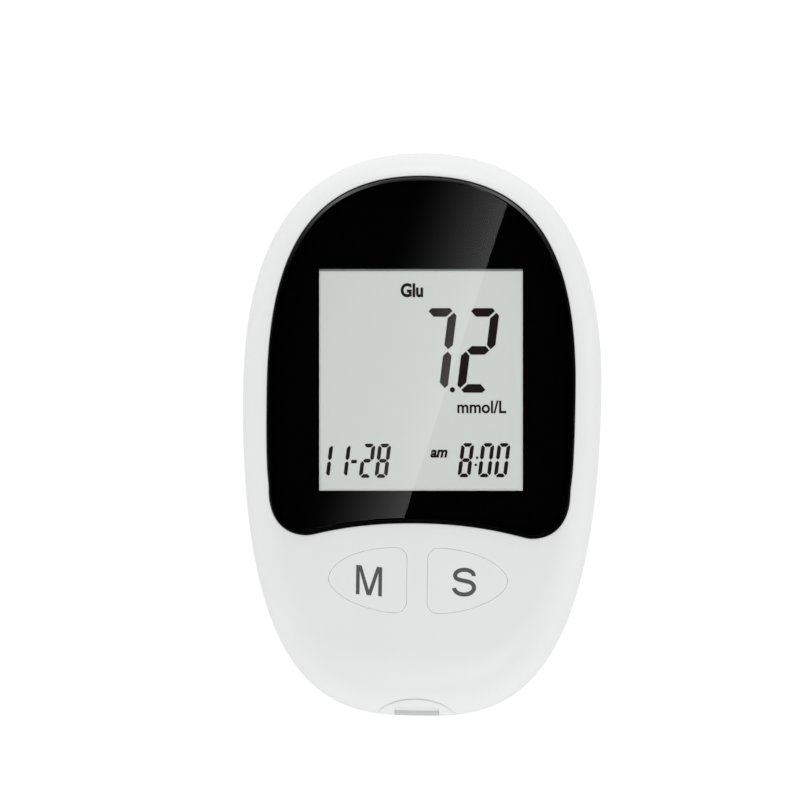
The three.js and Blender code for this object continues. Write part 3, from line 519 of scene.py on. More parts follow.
port_loop = arc(PORT_ARCH, PORT_ARCH_REACH, 0, 360, 240)[:-1]
boss_top_z = INNER_FACE_Z + WALL / 2
inner_parts = carved(
    prism("ledge", grown(window_loop, GAP + WALL), LEDGE_LOW_Z, FACE_Z),
    ("UNION", [
        *rods("boss", BOSS_RADIUS, SCREW_PLACES, BOSS_LOW_Z, boss_top_z),
        *rods("post", POST_RADIUS, POST_PLACES, BOARD_TOP_Z + FILM, boss_top_z),
    ]),
    ("INTERSECT", [volume("clip", FRONT, WALL / 2, BOSS_ROOM)]),
)
front_cover = carved(
    cover_skin("front_cover_shell", FRONT),
    ("DIFFERENCE", [
        volume("cavity", FRONT, WALL, OVERRUN),
        prism("lip room", grown(body_loop, GAP - LIP_INSET), PARTING_Z - OVERRUN,
              PARTING_Z + LIP_HEIGHT + GAP + PARTING_HALF_GAP),
    ]),
    ("UNION", [inner_parts]),
    ("DIFFERENCE", [
        flared("recess", window_loop, LEDGE_TOP_Z, front_height(grown(window_loop, EDGE_ROUND)),
               RECESS_RIM),
        display_block("view", VIEW_HALF_WIDTH - VIEW_LIP, VIEW_LIP - VIEW_HALF_HEIGHT,
                      VIEW_HALF_HEIGHT, LEDGE_LOW_Z - OVERRUN, LEDGE_TOP_Z + OVERRUN),
        display_block("view head", VIEW_HALF_WIDTH + VIEW_LIP, VIEW_HALF_HEIGHT - VIEW_STEP,
                      VIEW_HALF_HEIGHT + VIEW_LIP, LEDGE_LOW_Z - OVERRUN, LEDGE_TOP_Z + OVERRUN),
        *(flared("button hole", button_loop(side, BUTTON_HOLE_GROWTH), INNER_FACE_Z - OVERRUN,
                 FACE_Z, BUTTON_RIM) for side in (-1, 1)),
        *rods("bore", BOSS_BORE, SCREW_PLACES, BOSS_LOW_Z - OVERRUN, LEDGE_LOW_Z - GAP),
        *rods("bore", POST_BORE, POST_PLACES, BOARD_TOP_Z - OVERRUN, LEDGE_LOW_Z - GAP),
        flared("port arch", port_loop, PARTING_Z - OVERRUN,
               front_height(grown(port_loop, PORT_ARCH_RIM)), PORT_ARCH_RIM),
        bar("port block", PORT_BLOCK_WIDTH + GAP, -BEYOND, PORT_INNER_Y + GAP,
            PARTING_Z - OVERRUN, PORT_BLOCK_TOP_Z + GAP),
    ]),
)
smoothed(front_cover)
WHITE = (0.81, 0.815, 0.815)
housing_white = moulded("white_satin_abs", WHITE, 0.38, 0.22, 0.0025)
dressed(front_cover, housing_white, "housing", ["front_cover"])

# Rear cover
# The real piece is the back shell, of the same white ABS. The battery tray, the rails for the
# door's hooks and four screw columns are moulded into it, and a thin lip stands up inside the
# front cover's wall so that the two covers meet without a step.
REAR_ROLL = 9.0
REAR_POWER = 2.4
DOOR_RECESS = 0.25
DOOR_THICKNESS = 1.5
DOOR_HALF = 15.0
DOOR_LOW_Y = -17.5
DOOR_END_Z = 6.0
DOOR_INNER_Z = DOOR_RECESS + DOOR_THICKNESS
TRAY_HALF = 11.1
TRAY_WALL = 1.2
TRAY_OUTER = TRAY_HALF + TRAY_WALL
TRAY_LOW_Y = -13.6
TRAY_HIGH_Y = 37.0
TRAY_ROOF_Z = 12.95
TRAY_ROOM = 6
RAIL_INNER_X = 14.0
RAIL_TOP_Z = 2.9
CHANNEL_TOP_Z = 4.3
BAY_HALF = DOOR_HALF + GAP + TRAY_WALL
COLUMN_RADIUS = 3.6
COLUMN_TOP_Z = 9.0
COLUMN_BORE = 1.5
COLUMN_BORE_LOW_Z = 0.5
HEAD_ROOM_RADIUS = 2.7
HEAD_ROOM_TOP_Z = 3.6
CELL_X = 5.55
TAB_HALF = 1.3
TAB_DEPTH = 0.9
PORT_FLANGE_WIDTH = 18.0
REAR = (-1, PARTING_Z, REAR_ROLL, REAR_POWER)


def beside(name, side, near, far, low_y, high_y, low_z, high_z):
    """A block on one side of the housing's long axis, between two distances from it."""
    ends = sorted((side * near, side * far))
    return block(name, (ends[0], low_y, low_z), (ends[1], high_y, high_z))


cover_top_z = PARTING_Z - PARTING_HALF_GAP
inner_parts = carved(
    bar("tray", 2 * TRAY_OUTER, TRAY_LOW_Y - TRAY_WALL, TRAY_HIGH_Y + TRAY_WALL, WALL / 2,
        TRAY_ROOF_Z + TRAY_WALL),
    ("UNION", [
        bar("bay walls", 2 * BAY_HALF, DOOR_LOW_Y - TRAY_WALL, TRAY_HIGH_Y + TRAY_WALL, WALL / 2,
            CHANNEL_TOP_Z + TRAY_WALL),
        bar("end pocket", 2 * BAY_HALF, TRAY_HIGH_Y, HALF_LENGTH, WALL / 2,
            DOOR_END_Z + GAP + TRAY_WALL),
        *rods("column", COLUMN_RADIUS, SCREW_PLACES, WALL / 2, COLUMN_TOP_Z),
    ]),
    ("INTERSECT", [volume("clip", REAR, WALL / 2, TRAY_ROOM)]),
)
bay = carved(
    bar("door bay", 2 * (DOOR_HALF + GAP), DOOR_LOW_Y - GAP, BEYOND, -OVERRUN, DOOR_END_Z + GAP),
    ("DIFFERENCE", [volume("behind door", REAR, DOOR_INNER_Z + GAP, OVERRUN)]),
)
channels = [
    piece
    for side in (-1, 1)
    for piece in (
        beside("rail gap", side, TRAY_OUTER, RAIL_INNER_X, TRAY_LOW_Y - TRAY_WALL, BEYOND,
               DOOR_INNER_Z, CHANNEL_TOP_Z),
        beside("hook room", side, TRAY_OUTER, DOOR_HALF + GAP, TRAY_LOW_Y - TRAY_WALL, BEYOND,
               RAIL_TOP_Z, CHANNEL_TOP_Z),
        beside("tab hole", side, CELL_X - TAB_HALF, CELL_X + TAB_HALF, TRAY_LOW_Y,
               TRAY_LOW_Y + TAB_DEPTH, TRAY_ROOF_Z - OVERRUN, TRAY_ROOF_Z + TRAY_WALL + OVERRUN),
    )
]
rear_cover = carved(
    cover_skin("rear_cover_shell", REAR),
    ("UNION", [prism("lip", grown(body_loop, -LIP_INSET), cover_top_z - LIP_HEIGHT,
                     PARTING_Z + LIP_HEIGHT)]),
    ("DIFFERENCE", [
        volume("cavity", REAR, WALL, LIP_HEIGHT + OVERRUN),
        bar("insert room", PORT_FLANGE_WIDTH + 2 * GAP, -BEYOND, PORT_INNER_Y + GAP,
            cover_top_z, FACE_Z),
    ]),
    ("UNION", [inner_parts]),
    ("DIFFERENCE", [
        bay,
        *channels,
        bar("end room", 2 * (DOOR_HALF + GAP), TRAY_HIGH_Y + TRAY_WALL, BEYOND, -OVERRUN,
            DOOR_END_Z + GAP),
        bar("cell room", 2 * TRAY_HALF, TRAY_LOW_Y, TRAY_HIGH_Y, -OVERRUN, TRAY_ROOF_Z),
        *rods("counterbore", HEAD_ROOM_RADIUS, SCREW_PLACES, -OVERRUN, HEAD_ROOM_TOP_Z),
        *rods("bore", COLUMN_BORE, SCREW_PLACES, COLUMN_BORE_LOW_Z,
              COLUMN_TOP_Z + OVERRUN),
    ]),
)
smoothed(rear_cover)
dressed(rear_cover, housing_white, "housing", ["rear_cover"])

# Battery door
# The real piece is a panel of the same white ABS that carries the back and part of the rounded
# top end. It slides off towards that end, held by three hooks under a rail on each side, and a
# thumb finds the six ribs that stand up from it.
HOOK_INNER_X = 12.7
HOOK_WIDTH = 0.9
HOOK_REACH = 1.3
HOOK_LOW_Z = 3.2
HOOK_HIGH_Z = 4.0
HOOK_LENGTH = 5.0
DOOR_EDGE = 0.15
hook_ys = np.linspace(TRAY_LOW_Y, TRAY_HIGH_Y - HOOK_LENGTH, 3)
hooks = [
    piece
    for side in (-1, 1)
    for y in hook_ys
    for piece in (
        beside("hook stem", side, HOOK_INNER_X, HOOK_INNER_X + HOOK_WIDTH, y, y + HOOK_LENGTH,
               DOOR_INNER_Z - DOOR_THICKNESS / 2, HOOK_HIGH_Z),
        beside("hook", side, HOOK_INNER_X, HOOK_INNER_X + HOOK_WIDTH + HOOK_REACH, y,
               y + HOOK_LENGTH, HOOK_LOW_Z, HOOK_HIGH_Z),
    )
]
door = carved(
    volume("battery_door_panel", REAR, DOOR_RECESS),
    ("DIFFERENCE", [volume("door inside", REAR, DOOR_INNER_Z, OVERRUN)]),
    ("INTERSECT", [bar("door edge", 2 * DOOR_HALF, DOOR_LOW_Y, BEYOND, -OVERRUN, DOOR_END_Z)]),
    ("UNION", hooks),
)
edge_bevel = door.modifiers.new("broken edges", "BEVEL")
edge_bevel.width = DOOR_EDGE * MM
edge_bevel.segments = 2
edge_bevel.limit_method = "ANGLE"
edge_bevel.angle_limit = math.radians(50)
settled(door)
smoothed(door)
dressed(door, moulded("white_door_abs", WHITE, 0.4, 0.22, 0.0025), "door",
        ["battery_door"])

# Display window
# The real piece is a clear acrylic plate, dropped into the cover's recess and standing a little
# proud of it, with a polished rounded rim. Black is screen printed behind all of it but the
# display, so the print is a thin layer of its own just under the plate.
WINDOW_LOW_Z = 20.14
WINDOW_TOP_Z = 21.9
WINDOW_RIM_WIDTH = 0.7
WINDOW_RIM_DEPTH = 0.3
WINDOW_PLAY = 0.2
SKIN_DEPTH = 0.004
PRINT_THICKNESS = 0.03
# Where the rim's painted highlight starts and fades towards the top end, and where its two shoulders
# lie, in millimetres.
PAINTED_RIM_GLINT_START_Y = 27
PAINTED_RIM_GLINT_FADE = 9
PAINTED_RIM_GLINT_X = 13.5
PAINTED_RIM_GLINT_HALF_WIDTH = 6.5
plate_loop = grown(window_loop, -WINDOW_PLAY)
rim_rings = rounded(plate_loop, -WINDOW_RIM_WIDTH, WINDOW_TOP_Z, WINDOW_RIM_DEPTH, 13)
window = smoothed(loft("display_window_plate", [(plate_loop, WINDOW_LOW_Z), *rim_rings]), 50)
window_print = carved(
    prism("window_black_print", window_loop, LEDGE_TOP_Z + FILM,
          LEDGE_TOP_Z + FILM + PRINT_THICKNESS),
    ("DIFFERENCE", [display_block("view", VIEW_HALF_WIDTH, -VIEW_HALF_HEIGHT, VIEW_HALF_HEIGHT,
                                  LEDGE_TOP_Z, WINDOW_TOP_Z)]),
)
smoothed(window_print)


def clear_plate(nodes):
    """Clear on its flat sides and black at its rim. The rim's reflection is a painted highlight: it
    mirrors strongly only round the top end and its two shoulders, where the light falls.
    """
    x, y, height = nodes.axes()
    top = height > (WINDOW_TOP_Z - SKIN_DEPTH) * MM
    under = height < (WINDOW_LOW_Z + SKIN_DEPTH) * MM
    smear = nodes.noise(9)
    # Painted highlight: the rim's mirror strength rises past a line near the top end and peaks at
    # two shoulders, so its reflection shows only where the light falls.
    far = ((y - PAINTED_RIM_GLINT_START_Y * MM) / (PAINTED_RIM_GLINT_FADE * MM)).at_least(0.0).at_most(1.0)
    painted_glint_shoulder = (1 - abs(abs(x) - PAINTED_RIM_GLINT_X * MM) / (PAINTED_RIM_GLINT_HALF_WIDTH * MM)).at_least(0.0)
    rim = 0.001 + far * (0.03 + 0.14 * painted_glint_shoulder)
    gloss = nodes.solid(top + rim * (1 - top), 0.004 + 0.006 * smear, metallic=1.0)
    share = (1 - under) * (1 - top + top * nodes.glint(1.49))
    return nodes.blend(share, nodes.node("ShaderNodeBsdfTransparent"), gloss)


dressed(window, finish("clear_window_acrylic", clear_plate), "housing",
        ["display_window"])
black_ink = printed("black_screen_print", (0.6, 3), (0.0006, 0.0006, 0.0007),
                    (0.0012, 0.0012, 0.0014), (0.5, 0.1), 0.0)
dressed(window_print, black_ink, "housing", ["window_print"])

# Buttons
# The real pieces are two flush caps of white ABS, each half an ellipse, that drop through the
# cover with a hairline joint. A flange stops each from inside, a stem presses its switch, and
# the letters are pad printed in grey.
BUTTON_CAP_GROWTH = 0.12
BUTTON_FLANGE_Z = 18.6
BUTTON_FLANGE_TOP_Z = 19.4
FLANGE_REACH = 0.8
STEM_X = 7.6
STEM_RADIUS = 1.6
STEM_LOW_Z = 18.1
STEM_OVERLAP = 0.4
CAP_OVERLAP = 0.1
LETTER_LIFT = 0.004
LETTER_TOP = 0.02


def button_cap(name, side):
    loop = button_loop(side, BUTTON_CAP_GROWTH)
    rings = [(loop, BUTTON_FLANGE_Z + CAP_OVERLAP),
             *rounded(loop, -BUTTON_RIM, FACE_Z, BUTTON_RIM)]
    flange = prism("flange", button_loop(side, GAP + FLANGE_REACH), BUTTON_FLANGE_Z,
                   BUTTON_FLANGE_TOP_Z)
    stem = rods("stem", STEM_RADIUS, [(side * STEM_X, BUTTON_Y)], STEM_LOW_Z,
                BUTTON_FLANGE_Z + STEM_OVERLAP)
    return smoothed(carved(loft(name, rings), ("UNION", [flange, *stem])))


memory_cap = button_cap("memory_button_cap", -1)
set_cap = button_cap("set_button_cap", 1)


def plates(name, outlines, low, high):
    """Flat shapes of one thickness, as one mesh."""
    points = []
    faces = []
    for outline in outlines:
        x, y = np.array(outline).T
        if np.sum(x * np.roll(y, -1) - y * np.roll(x, -1)) < 0:
            outline = outline[::-1]
        own_points, own_faces = skin([(outline, low), (outline, high)])
        faces += [[len(points) + i for i in face] for face in own_faces]
        points += own_points.tolist()
    return placed(name, points, faces)


def stroke(line, width):
    """The outline of a pen stroke of one width along a line of points, with square ends."""
    line = np.array(line, float)
    along = np.gradient(line, axis=0)
    along /= np.linalg.norm(along, axis=1)[:, None]
    across = np.stack([-along[:, 1], along[:, 0]], axis=1) * width / 2
    return np.concatenate([line - across, (line + across)[::-1]])


def letter_m(middle, width, height, pen, drop):
    """A plain capital M, diagonals down to the baseline, which drops towards its right."""
    x = np.array([0, pen, width / 2, width - pen, width, width, width - pen * 0.92,
                  width - pen * 0.92, width / 2 + pen * 0.56, width / 2 - pen * 0.56,
                  pen * 0.92, pen * 0.92, 0])
    slope = (width / 2 - pen) / (height - pen * 1.3)
    y = np.array([height, height, pen * 1.3, height, height, 0, 0, height - pen * 1.45, 0, 0,
                  height - pen * 1.45, 0, 0])
    x[1] = pen * 1.35
    x[3] = width - pen * 1.35
    y = y - height / 2 - drop * (x / width - 0.5)
    return np.stack([middle[0] - width / 2 + x, middle[1] + y], axis=1)[::-1]


def letter_s(middle, width, height, pen):
    """A plain capital S, as a pen stroke over two bowls."""
    half = (width - pen) / 2
    rise = (height - pen) / 2
    bowl = 0.47 * (height - pen) / 2 + 0.02
    upper_middle = rise - 0.96 * bowl
    lower_middle = -rise + 1.16 * bowl
    top = arc((0.02, upper_middle), (half * 0.93, 0.96 * bowl), -5, 218, 40)
    foot = arc((0.0, lower_middle), (half, 1.16 * bowl), 48, -176, 44)
    spine = bezier([top[-1], top[-1] + (0.30, -0.19), foot[0] + (-0.34, 0.19), foot[0]], 16)
    line = np.concatenate([top[:-1], spine, foot[1:]])
    return stroke(line + middle, pen)


memory_letter = plates("memory_letter", [letter_m((-8.17, -24.44), 4.33, 4.85, 0.66, 0.35)],
                       FACE_Z + LETTER_LIFT, FACE_Z + LETTER_TOP)
set_letter = plates("set_letter", [letter_s((7.68, -24.43), 4.0, 4.8, 0.68)],
                    FACE_Z + LETTER_LIFT, FACE_Z + LETTER_TOP)
button_white = moulded("white_button_abs", WHITE, 0.36, 0.2, 0.002)
letter_ink = printed("grey_letter_ink", (0.4, 3), (0.066, 0.066, 0.068), (0.088, 0.088, 0.09),
                     (0.42, 0.12))
dressed(memory_cap, button_white, "memory_key", ["memory_button"])
dressed(set_cap, button_white, "set_key", ["set_button"])
dressed(memory_letter, letter_ink, "memory_key")
dressed(set_letter, letter_ink, "set_key")

# Strip port insert
# The real piece is a small white moulding let into the nose, a step below the cover's face. A
# test strip slides into its slot, and an open notch over the slot's mouth guides the strip in.
PORT_RECESS = 0.6
PORT_FLOOR_Z = PARTING_Z + PARTING_HALF_GAP
SLOT_WIDTH = 7.5
SLOT_LOW_Z = 12.4
SLOT_HIGH_Z = 13.6
PORT_GROOVE = 0.22
PORT_PLAY = 0.03
PORT_NOSE_PLAY = 0.02
PORT_FLANGE_THICKNESS = 1
NOTCH_LOW_Y = -46.4
NOTCH_LEAN = 0.17
NOTCH_HEIGHT = 10


def port_notch():
    """A cutter open to the nose and upwards, whose back leans away as it rises."""
    half = SLOT_WIDTH / 2
    return loft("notch", [
        (rectangle((-half, -BEYOND), (half, NOTCH_LOW_Y + NOTCH_LEAN * rise)), SLOT_LOW_Z + rise)
        for rise in (0, NOTCH_HEIGHT)
    ])


port_rebate = carved(
    volume("rebate", FRONT, 0, sunk=PORT_RECESS + PORT_GROOVE, steps=36),
    ("INTERSECT", [prism("arch", grown(port_loop, -PORT_PLAY), PORT_FLOOR_Z, FACE_Z)]),
)
port_insert = carved(
    volume("strip_port_moulding", FRONT, 0, sunk=PORT_RECESS, steps=36),
    ("INTERSECT", [prism("arch", grown(port_loop, -PORT_GROOVE), PORT_FLOOR_Z, FACE_Z)]),
)
port_block = carved(
    bar("port block", PORT_BLOCK_WIDTH, -BEYOND, PORT_INNER_Y, PORT_FLOOR_Z, PORT_BLOCK_TOP_Z),
    ("INTERSECT", [volume("clip", FRONT, PORT_NOSE_PLAY, sunk=0)]),
)
port_flange = carved(
    bar("flange", PORT_FLANGE_WIDTH, PORT_INNER_Y - PORT_FLANGE_THICKNESS, PORT_INNER_Y,
        PORT_FLOOR_Z, PORT_BLOCK_TOP_Z),
    ("INTERSECT", [volume("clip", FRONT, WALL + GAP, OVERRUN)]),
)
carved(
    port_insert,
    ("UNION", [port_rebate, port_block, port_flange]),
    ("DIFFERENCE", [
        bar("slot", SLOT_WIDTH, -BEYOND, PORT_INNER_Y + OVERRUN, SLOT_LOW_Z, SLOT_HIGH_Z),
        port_notch(),
    ]),
)
smoothed(port_insert)
dressed(port_insert, moulded("white_port_abs", (0.8, 0.81, 0.81), 0.36, 0.2, 0.002), "housing",
        ["strip_port_insert"])

# Display
# The real piece is a reflective liquid crystal cell in an off white frame on the board, fed
# through a strip of layered rubber. Its pale grey green front stands up into the cover's opening
# to just under the window. Nothing but generic figures and units is lit.
PANEL_LOW_Z = 18.66
PANEL_HIGH_Z = 19.95
PANEL_PLAY = 0.02
PANEL_STEP_Z = 19.2
PANEL_EDGE = 0.04
STEP_OVERLAP = 0.1
FIGURES_LOW_Z = PANEL_HIGH_Z + 0.01
FIGURES_HIGH_Z = PANEL_HIGH_Z + 0.03
SLANT = math.tan(math.radians(7))
SEGMENTS = {
    "0": "abcdef", "1": "bc", "2": "abdeg", "7": "abc", "8": "abcdefg",
}


def figure(digit, x, y, width, height, pen):
    """The lit segments of a slanted seven segment figure, each a loop of points."""
    chamfer = 0.34 * pen
    gap = 0.19 * pen
    tip = 0.13 * pen
    middle = height / 2
    level = np.array([
        (gap + chamfer, chamfer), (gap + 2 * chamfer, 0), (width - gap - 2 * chamfer, 0),
        (width - gap - chamfer, chamfer), (width - gap - pen, pen), (gap + pen, pen),
    ])
    upright = np.array([
        (0, gap + 2 * chamfer), (chamfer, gap + chamfer), (pen, gap + pen),
        (pen, middle - tip - pen / 2), (pen / 2, middle - tip), (0, middle - tip - pen / 2),
    ])[::-1]
    across = np.array([
        (pen / 2 + tip, middle), (pen + tip, middle - pen / 2),
        (width - pen - tip, middle - pen / 2), (width - pen / 2 - tip, middle),
        (width - pen - tip, middle + pen / 2), (pen + tip, middle + pen / 2),
    ])
    over = np.array([0, height])
    shapes = {
        "d": level, "a": (over + level * [1, -1])[::-1], "g": across,
        "e": upright, "f": (over + upright * [1, -1])[::-1],
        "c": ([width, 0] + upright * [-1, 1])[::-1], "b": [width, height] - upright,
    }
    loops = [shapes[name] for name in SEGMENTS[digit]]
    return [np.stack([x + loop[:, 0] + SLANT * loop[:, 1], y + loop[:, 1]], axis=1)
            for loop in loops]


def panel_ring(inset, z):
    """A ring of the panel, square to the display, and its height."""
    half_width = VIEW_HALF_WIDTH - VIEW_LIP - PANEL_PLAY - inset
    low = VIEW_LIP - VIEW_HALF_HEIGHT + PANEL_PLAY + inset
    high = VIEW_HALF_HEIGHT - VIEW_STEP - inset
    return on_display(rectangle((-half_width, low), (half_width, high))), z


panel = carved(
    loft("display_panel", [
        panel_ring(0, PANEL_LOW_Z), panel_ring(0, PANEL_HIGH_Z - PANEL_EDGE),
        panel_ring(PANEL_EDGE, PANEL_HIGH_Z),
    ]),
    ("UNION", [display_block("step", VIEW_HALF_WIDTH + VIEW_LIP - PANEL_PLAY,
                             VIEW_HALF_HEIGHT - VIEW_STEP - STEP_OVERLAP,
                             VIEW_HALF_HEIGHT + VIEW_LIP - PANEL_PLAY,
                             PANEL_LOW_Z + STEP_OVERLAP, PANEL_STEP_Z)]),
)
smoothed(panel)

BIG = (5.51, 14.08, 1.42)
SMALL = (2.14, 5.69, 0.62)
ROWS = [
    (-2.13, BIG, {-1.17: "7", 5.92: "2"}),
    (-16.33, SMALL, {-17.44: "1", -14.5: "1", -10.4: "2", -7.78: "8"}),
    (-16.23, SMALL, {6.06: "8", 9.43: "0", 12.12: "0"}),
]
lit = [loop for y, sizes, digits in ROWS for x, digit in digits.items()
       for loop in figure(digit, x, y, *sizes)]
lit += [
    circle(0.43, 5.24, -1.64, 24),
    circle(0.21, 9.34, -12.98, 16),
    circle(0.21, 9.14, -14.17, 16),
    np.array([(-11.68, -13.9), (-10.75, -13.9), (-10.67, -13.35), (-11.6, -13.35)]),
]
figures = plates("display_figures", [on_display(loop) for loop in lit], FIGURES_LOW_Z,
                 FIGURES_HIGH_Z)


def caption(name, words, left, base, width, height, weight, slope=0.0, sample=None):
    """Plain words as a thin plate, fitted to a width and to the height of the sample letters."""
    def outline(body):
        text = bpy.data.curves.new(name, "FONT")
        text.body = body
        text.offset = weight
        text.shear = slope
        text.extrude = 0.5
        text.resolution_u = 4
        holder = bpy.data.objects.new(name, text)
        bpy.context.scene.collection.objects.link(holder)
        bpy.context.view_layer.update()
        graph = bpy.context.evaluated_depsgraph_get()
        mesh = bpy.data.meshes.new_from_object(holder.evaluated_get(graph))
        bpy.data.objects.remove(holder)
        points = np.array([vertex.co for vertex in mesh.vertices])
        return mesh, points

    tall = outline(sample or words)[1]
    mesh, points = outline(words)
    scale_x = width / (points[:, 0].max() - points[:, 0].min())
    scale_y = height / (tall[:, 1].max() - tall[:, 1].min())
    points[:, 0] = left + (points[:, 0] - points[:, 0].min()) * scale_x
    points[:, 1] = base + (points[:, 1] - tall[:, 1].min()) * scale_y
    points[:, :2] = on_display(points[:, :2])
    points[:, 2] = np.where(points[:, 2] > 0, FIGURES_HIGH_Z, FIGURES_LOW_Z)
    kept, index = np.unique(points.round(5), axis=0, return_inverse=True)
    index = index.ravel()
    return placed(name, kept, [index[list(face.vertices)].tolist() for face in mesh.polygons])


words = [
    caption("display_caption", "Glu", -3.4, 13.8, 3.75, 2.3, 0.04, sample="l"),
    caption("display_unit", "mmol/L", 6.06, -5.55, 8.15, 2.08, 0.02, sample="L"),
    caption("display_half_of_day", "am", 1.57, -12.95, 2.85, 1.3, 0.036, 0.22, sample="x"),
]


def cell_glass(nodes):
    """Thin flat glass: clear, with a faint green cast and a weak reflection."""
    smear = nodes.noise(7)
    clear = nodes.node("ShaderNodeBsdfTransparent", (), {"Color": (0.985, 0.99, 0.985, 1.0)})
    gloss = nodes.solid(nodes.mix(smear, (0.9, 0.94, 0.92), (0.96, 1.0, 0.98)),
                        0.02 + 0.02 * smear, metallic=1.0)
    return nodes.blend(0.2 * nodes.glint(1.5), clear, gloss)


def grey_green_film(nodes):
    """Pale grey green film with the fine tooth that scatters light back."""
    slow = nodes.noise(25)
    grain = nodes.noise(0.12, 1)
    tone = nodes.mix(0.5 * slow + 0.5 * grain, (0.65, 0.69, 0.66), (0.69, 0.73, 0.7))
    return nodes.solid(tone, 0.5 + 0.2 * grain, nodes.bump(grain, 0.003))


crystal = printed("lit_liquid_crystal", (5,), (0.008, 0.0045, 0.005), (0.013, 0.008, 0.008),
                  (0.45, 0.1), 0.1)
for piece in [figures, *words]:
    dressed(piece, crystal, "housing")
pale_film = finish("grey_green_film", grey_green_film)
dressed(panel, pale_film, "housing")


def redressed(material, *names):
    """Gives CAD nodes that keep their shape a finished material."""
    for name in names:
        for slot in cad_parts[name].material_slots:
            slot.material = material


off_white = moulded("off_white_matt_abs", (0.7, 0.7, 0.67), 0.55, 0.3, 0.004)
redressed(finish("thin_cell_glass", cell_glass), "display_rear_glass", "display_front_glass")
redressed(pale_film, "display_reflector")
redressed(off_white, "display_frame", "memory_switch_plunger", "set_switch_plunger")


RUBBER_PITCH = 0.2


def layered_rubber(nodes):
    """Pink silicone with a fine black conducting layer at every step."""
    across = nodes.axes()[0]
    layer = (across / (RUBBER_PITCH * MM)).fraction() > 0.55
    grain = nodes.noise(0.3)
    return nodes.solid(nodes.mix(layer, (0.66, 0.33, 0.36), (0.03, 0.025, 0.026)),
                       0.6 + 0.15 * grain, nodes.bump(grain, 0.01))


redressed(finish("layered_pink_rubber", layered_rubber), "display_connector_strip")

# Circuit board and what is soldered to it
# The real piece is a green lacquered glass fibre board with copper tracks under the lacquer. The
# controller, memory, amplifier, regulator, capacitor, crystal and buzzer hang under it.
BOARD_LOW_Z = 14.5
LACQUER = 0.015
TRACK_PITCH = 2.2


def lacquered_board(nodes):
    """Green lacquer over copper tracks, with tan glass fibre showing at the sawn edges."""
    height = nodes.axes()[2]
    tracks = nodes.node("ShaderNodeTexVoronoi", {"distance": "MANHATTAN", "feature": "F1"},
                        {"Vector": nodes.point(), "Scale": 1 / (TRACK_PITCH * MM),
                         "Randomness": 0.35})
    copper = ((tracks * 3.0).fraction() > 0.62) * 0.55
    lacquer = nodes.mix(copper, (0.009, 0.085, 0.028), (0.03, 0.17, 0.05))
    middle = (BOARD_LOW_Z + BOARD_TOP_Z) / 2 * MM
    sawn = abs(height - middle) < ((BOARD_TOP_Z - BOARD_LOW_Z) / 2 - LACQUER) * MM
    fibre = nodes.noise(0.25, 3)
    edge = nodes.mix(fibre, (0.3, 0.26, 0.12), (0.42, 0.38, 0.2))
    return nodes.solid(nodes.mix(sawn, lacquer, edge), 0.28 + 0.4 * sawn + 0.08 * fibre,
                       nodes.bump(copper, 0.02))


redressed(finish("lacquered_board", lacquered_board), "circuit_board")


def epoxy_package(name):
    """Black moulded epoxy with a round pin mark near one corner of its lower face."""
    low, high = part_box(name)
    dot = (low[0] + 0.22 * (high[0] - low[0]), high[1] - 0.22 * (high[1] - low[1]))
    radius = 0.09 * min(high[0] - low[0], high[1] - low[1])

    def surface(nodes):
        x, y, z = nodes.axes()
        away = ((x - dot[0]) * (x - dot[0]) + (y - dot[1]) * (y - dot[1])) ** 0.5
        mark = (away < radius) * (z < low[2] + 0.05 * MM)
        grain = nodes.noise(0.15, 2)
        tone = nodes.mix(0.6 * mark + 0.2 * grain, (0.011, 0.011, 0.012), (0.03, 0.03, 0.031))
        return nodes.solid(tone, 0.55 + 0.15 * grain - 0.25 * mark,
                           nodes.bump(grain * (1 - mark), 0.006))
    return finish(name + "_epoxy", surface)


for name in ["controller_chip", "memory_chip", "voltage_regulator", "sensor_amplifier_chip",
             "buzzer", "memory_switch_body", "set_switch_body", "strip_connector"]:
    redressed(epoxy_package(name), name)


def banded_capacitor(nodes):
    """Ochre moulded tantalum capacitor with a brown band at its positive end."""
    low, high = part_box("supply_capacitor")
    band = (nodes.axes()[0] < low[0] + 0.2 * (high[0] - low[0])) * 0.85
    grain = nodes.noise(0.2)
    return nodes.solid(nodes.mix(band + 0.15 * grain, (0.58, 0.31, 0.06), (0.12, 0.035, 0.012)),
                       0.45 + 0.15 * grain, nodes.bump(grain, 0.005))


redressed(finish("banded_ochre_capacitor", banded_capacitor), "supply_capacitor")


def plated(name, low, high, roughness, size=0.5, stretch=(1.0, 1.0, 1.0)):
    """Plated sheet or wire: a metal with faint drawing marks and drifting gloss."""
    def surface(nodes):
        along = nodes.node("ShaderNodeMapping", (), {"Vector": nodes.point(), "Scale": stretch})
        marks = nodes.noise(size, 3.0, along)
        return nodes.solid(nodes.mix(marks, low, high), roughness - 0.05 + 0.12 * marks,
                           nodes.bump(marks, 0.002), metallic=1.0)
    return finish(name, surface)


nickel = plated("nickel_plated_steel", (0.58, 0.57, 0.55), (0.68, 0.67, 0.66), 0.24,
                stretch=(0.2, 1.0, 1.0))
gold = plated("gold_plated_bronze", (0.76, 0.52, 0.2), (0.88, 0.66, 0.3), 0.22,
              stretch=(1.0, 0.2, 1.0))
redressed(nickel, "clock_crystal")
redressed(gold, "strip_contact_1", "strip_contact_2", "strip_contact_3", "strip_contact_4")

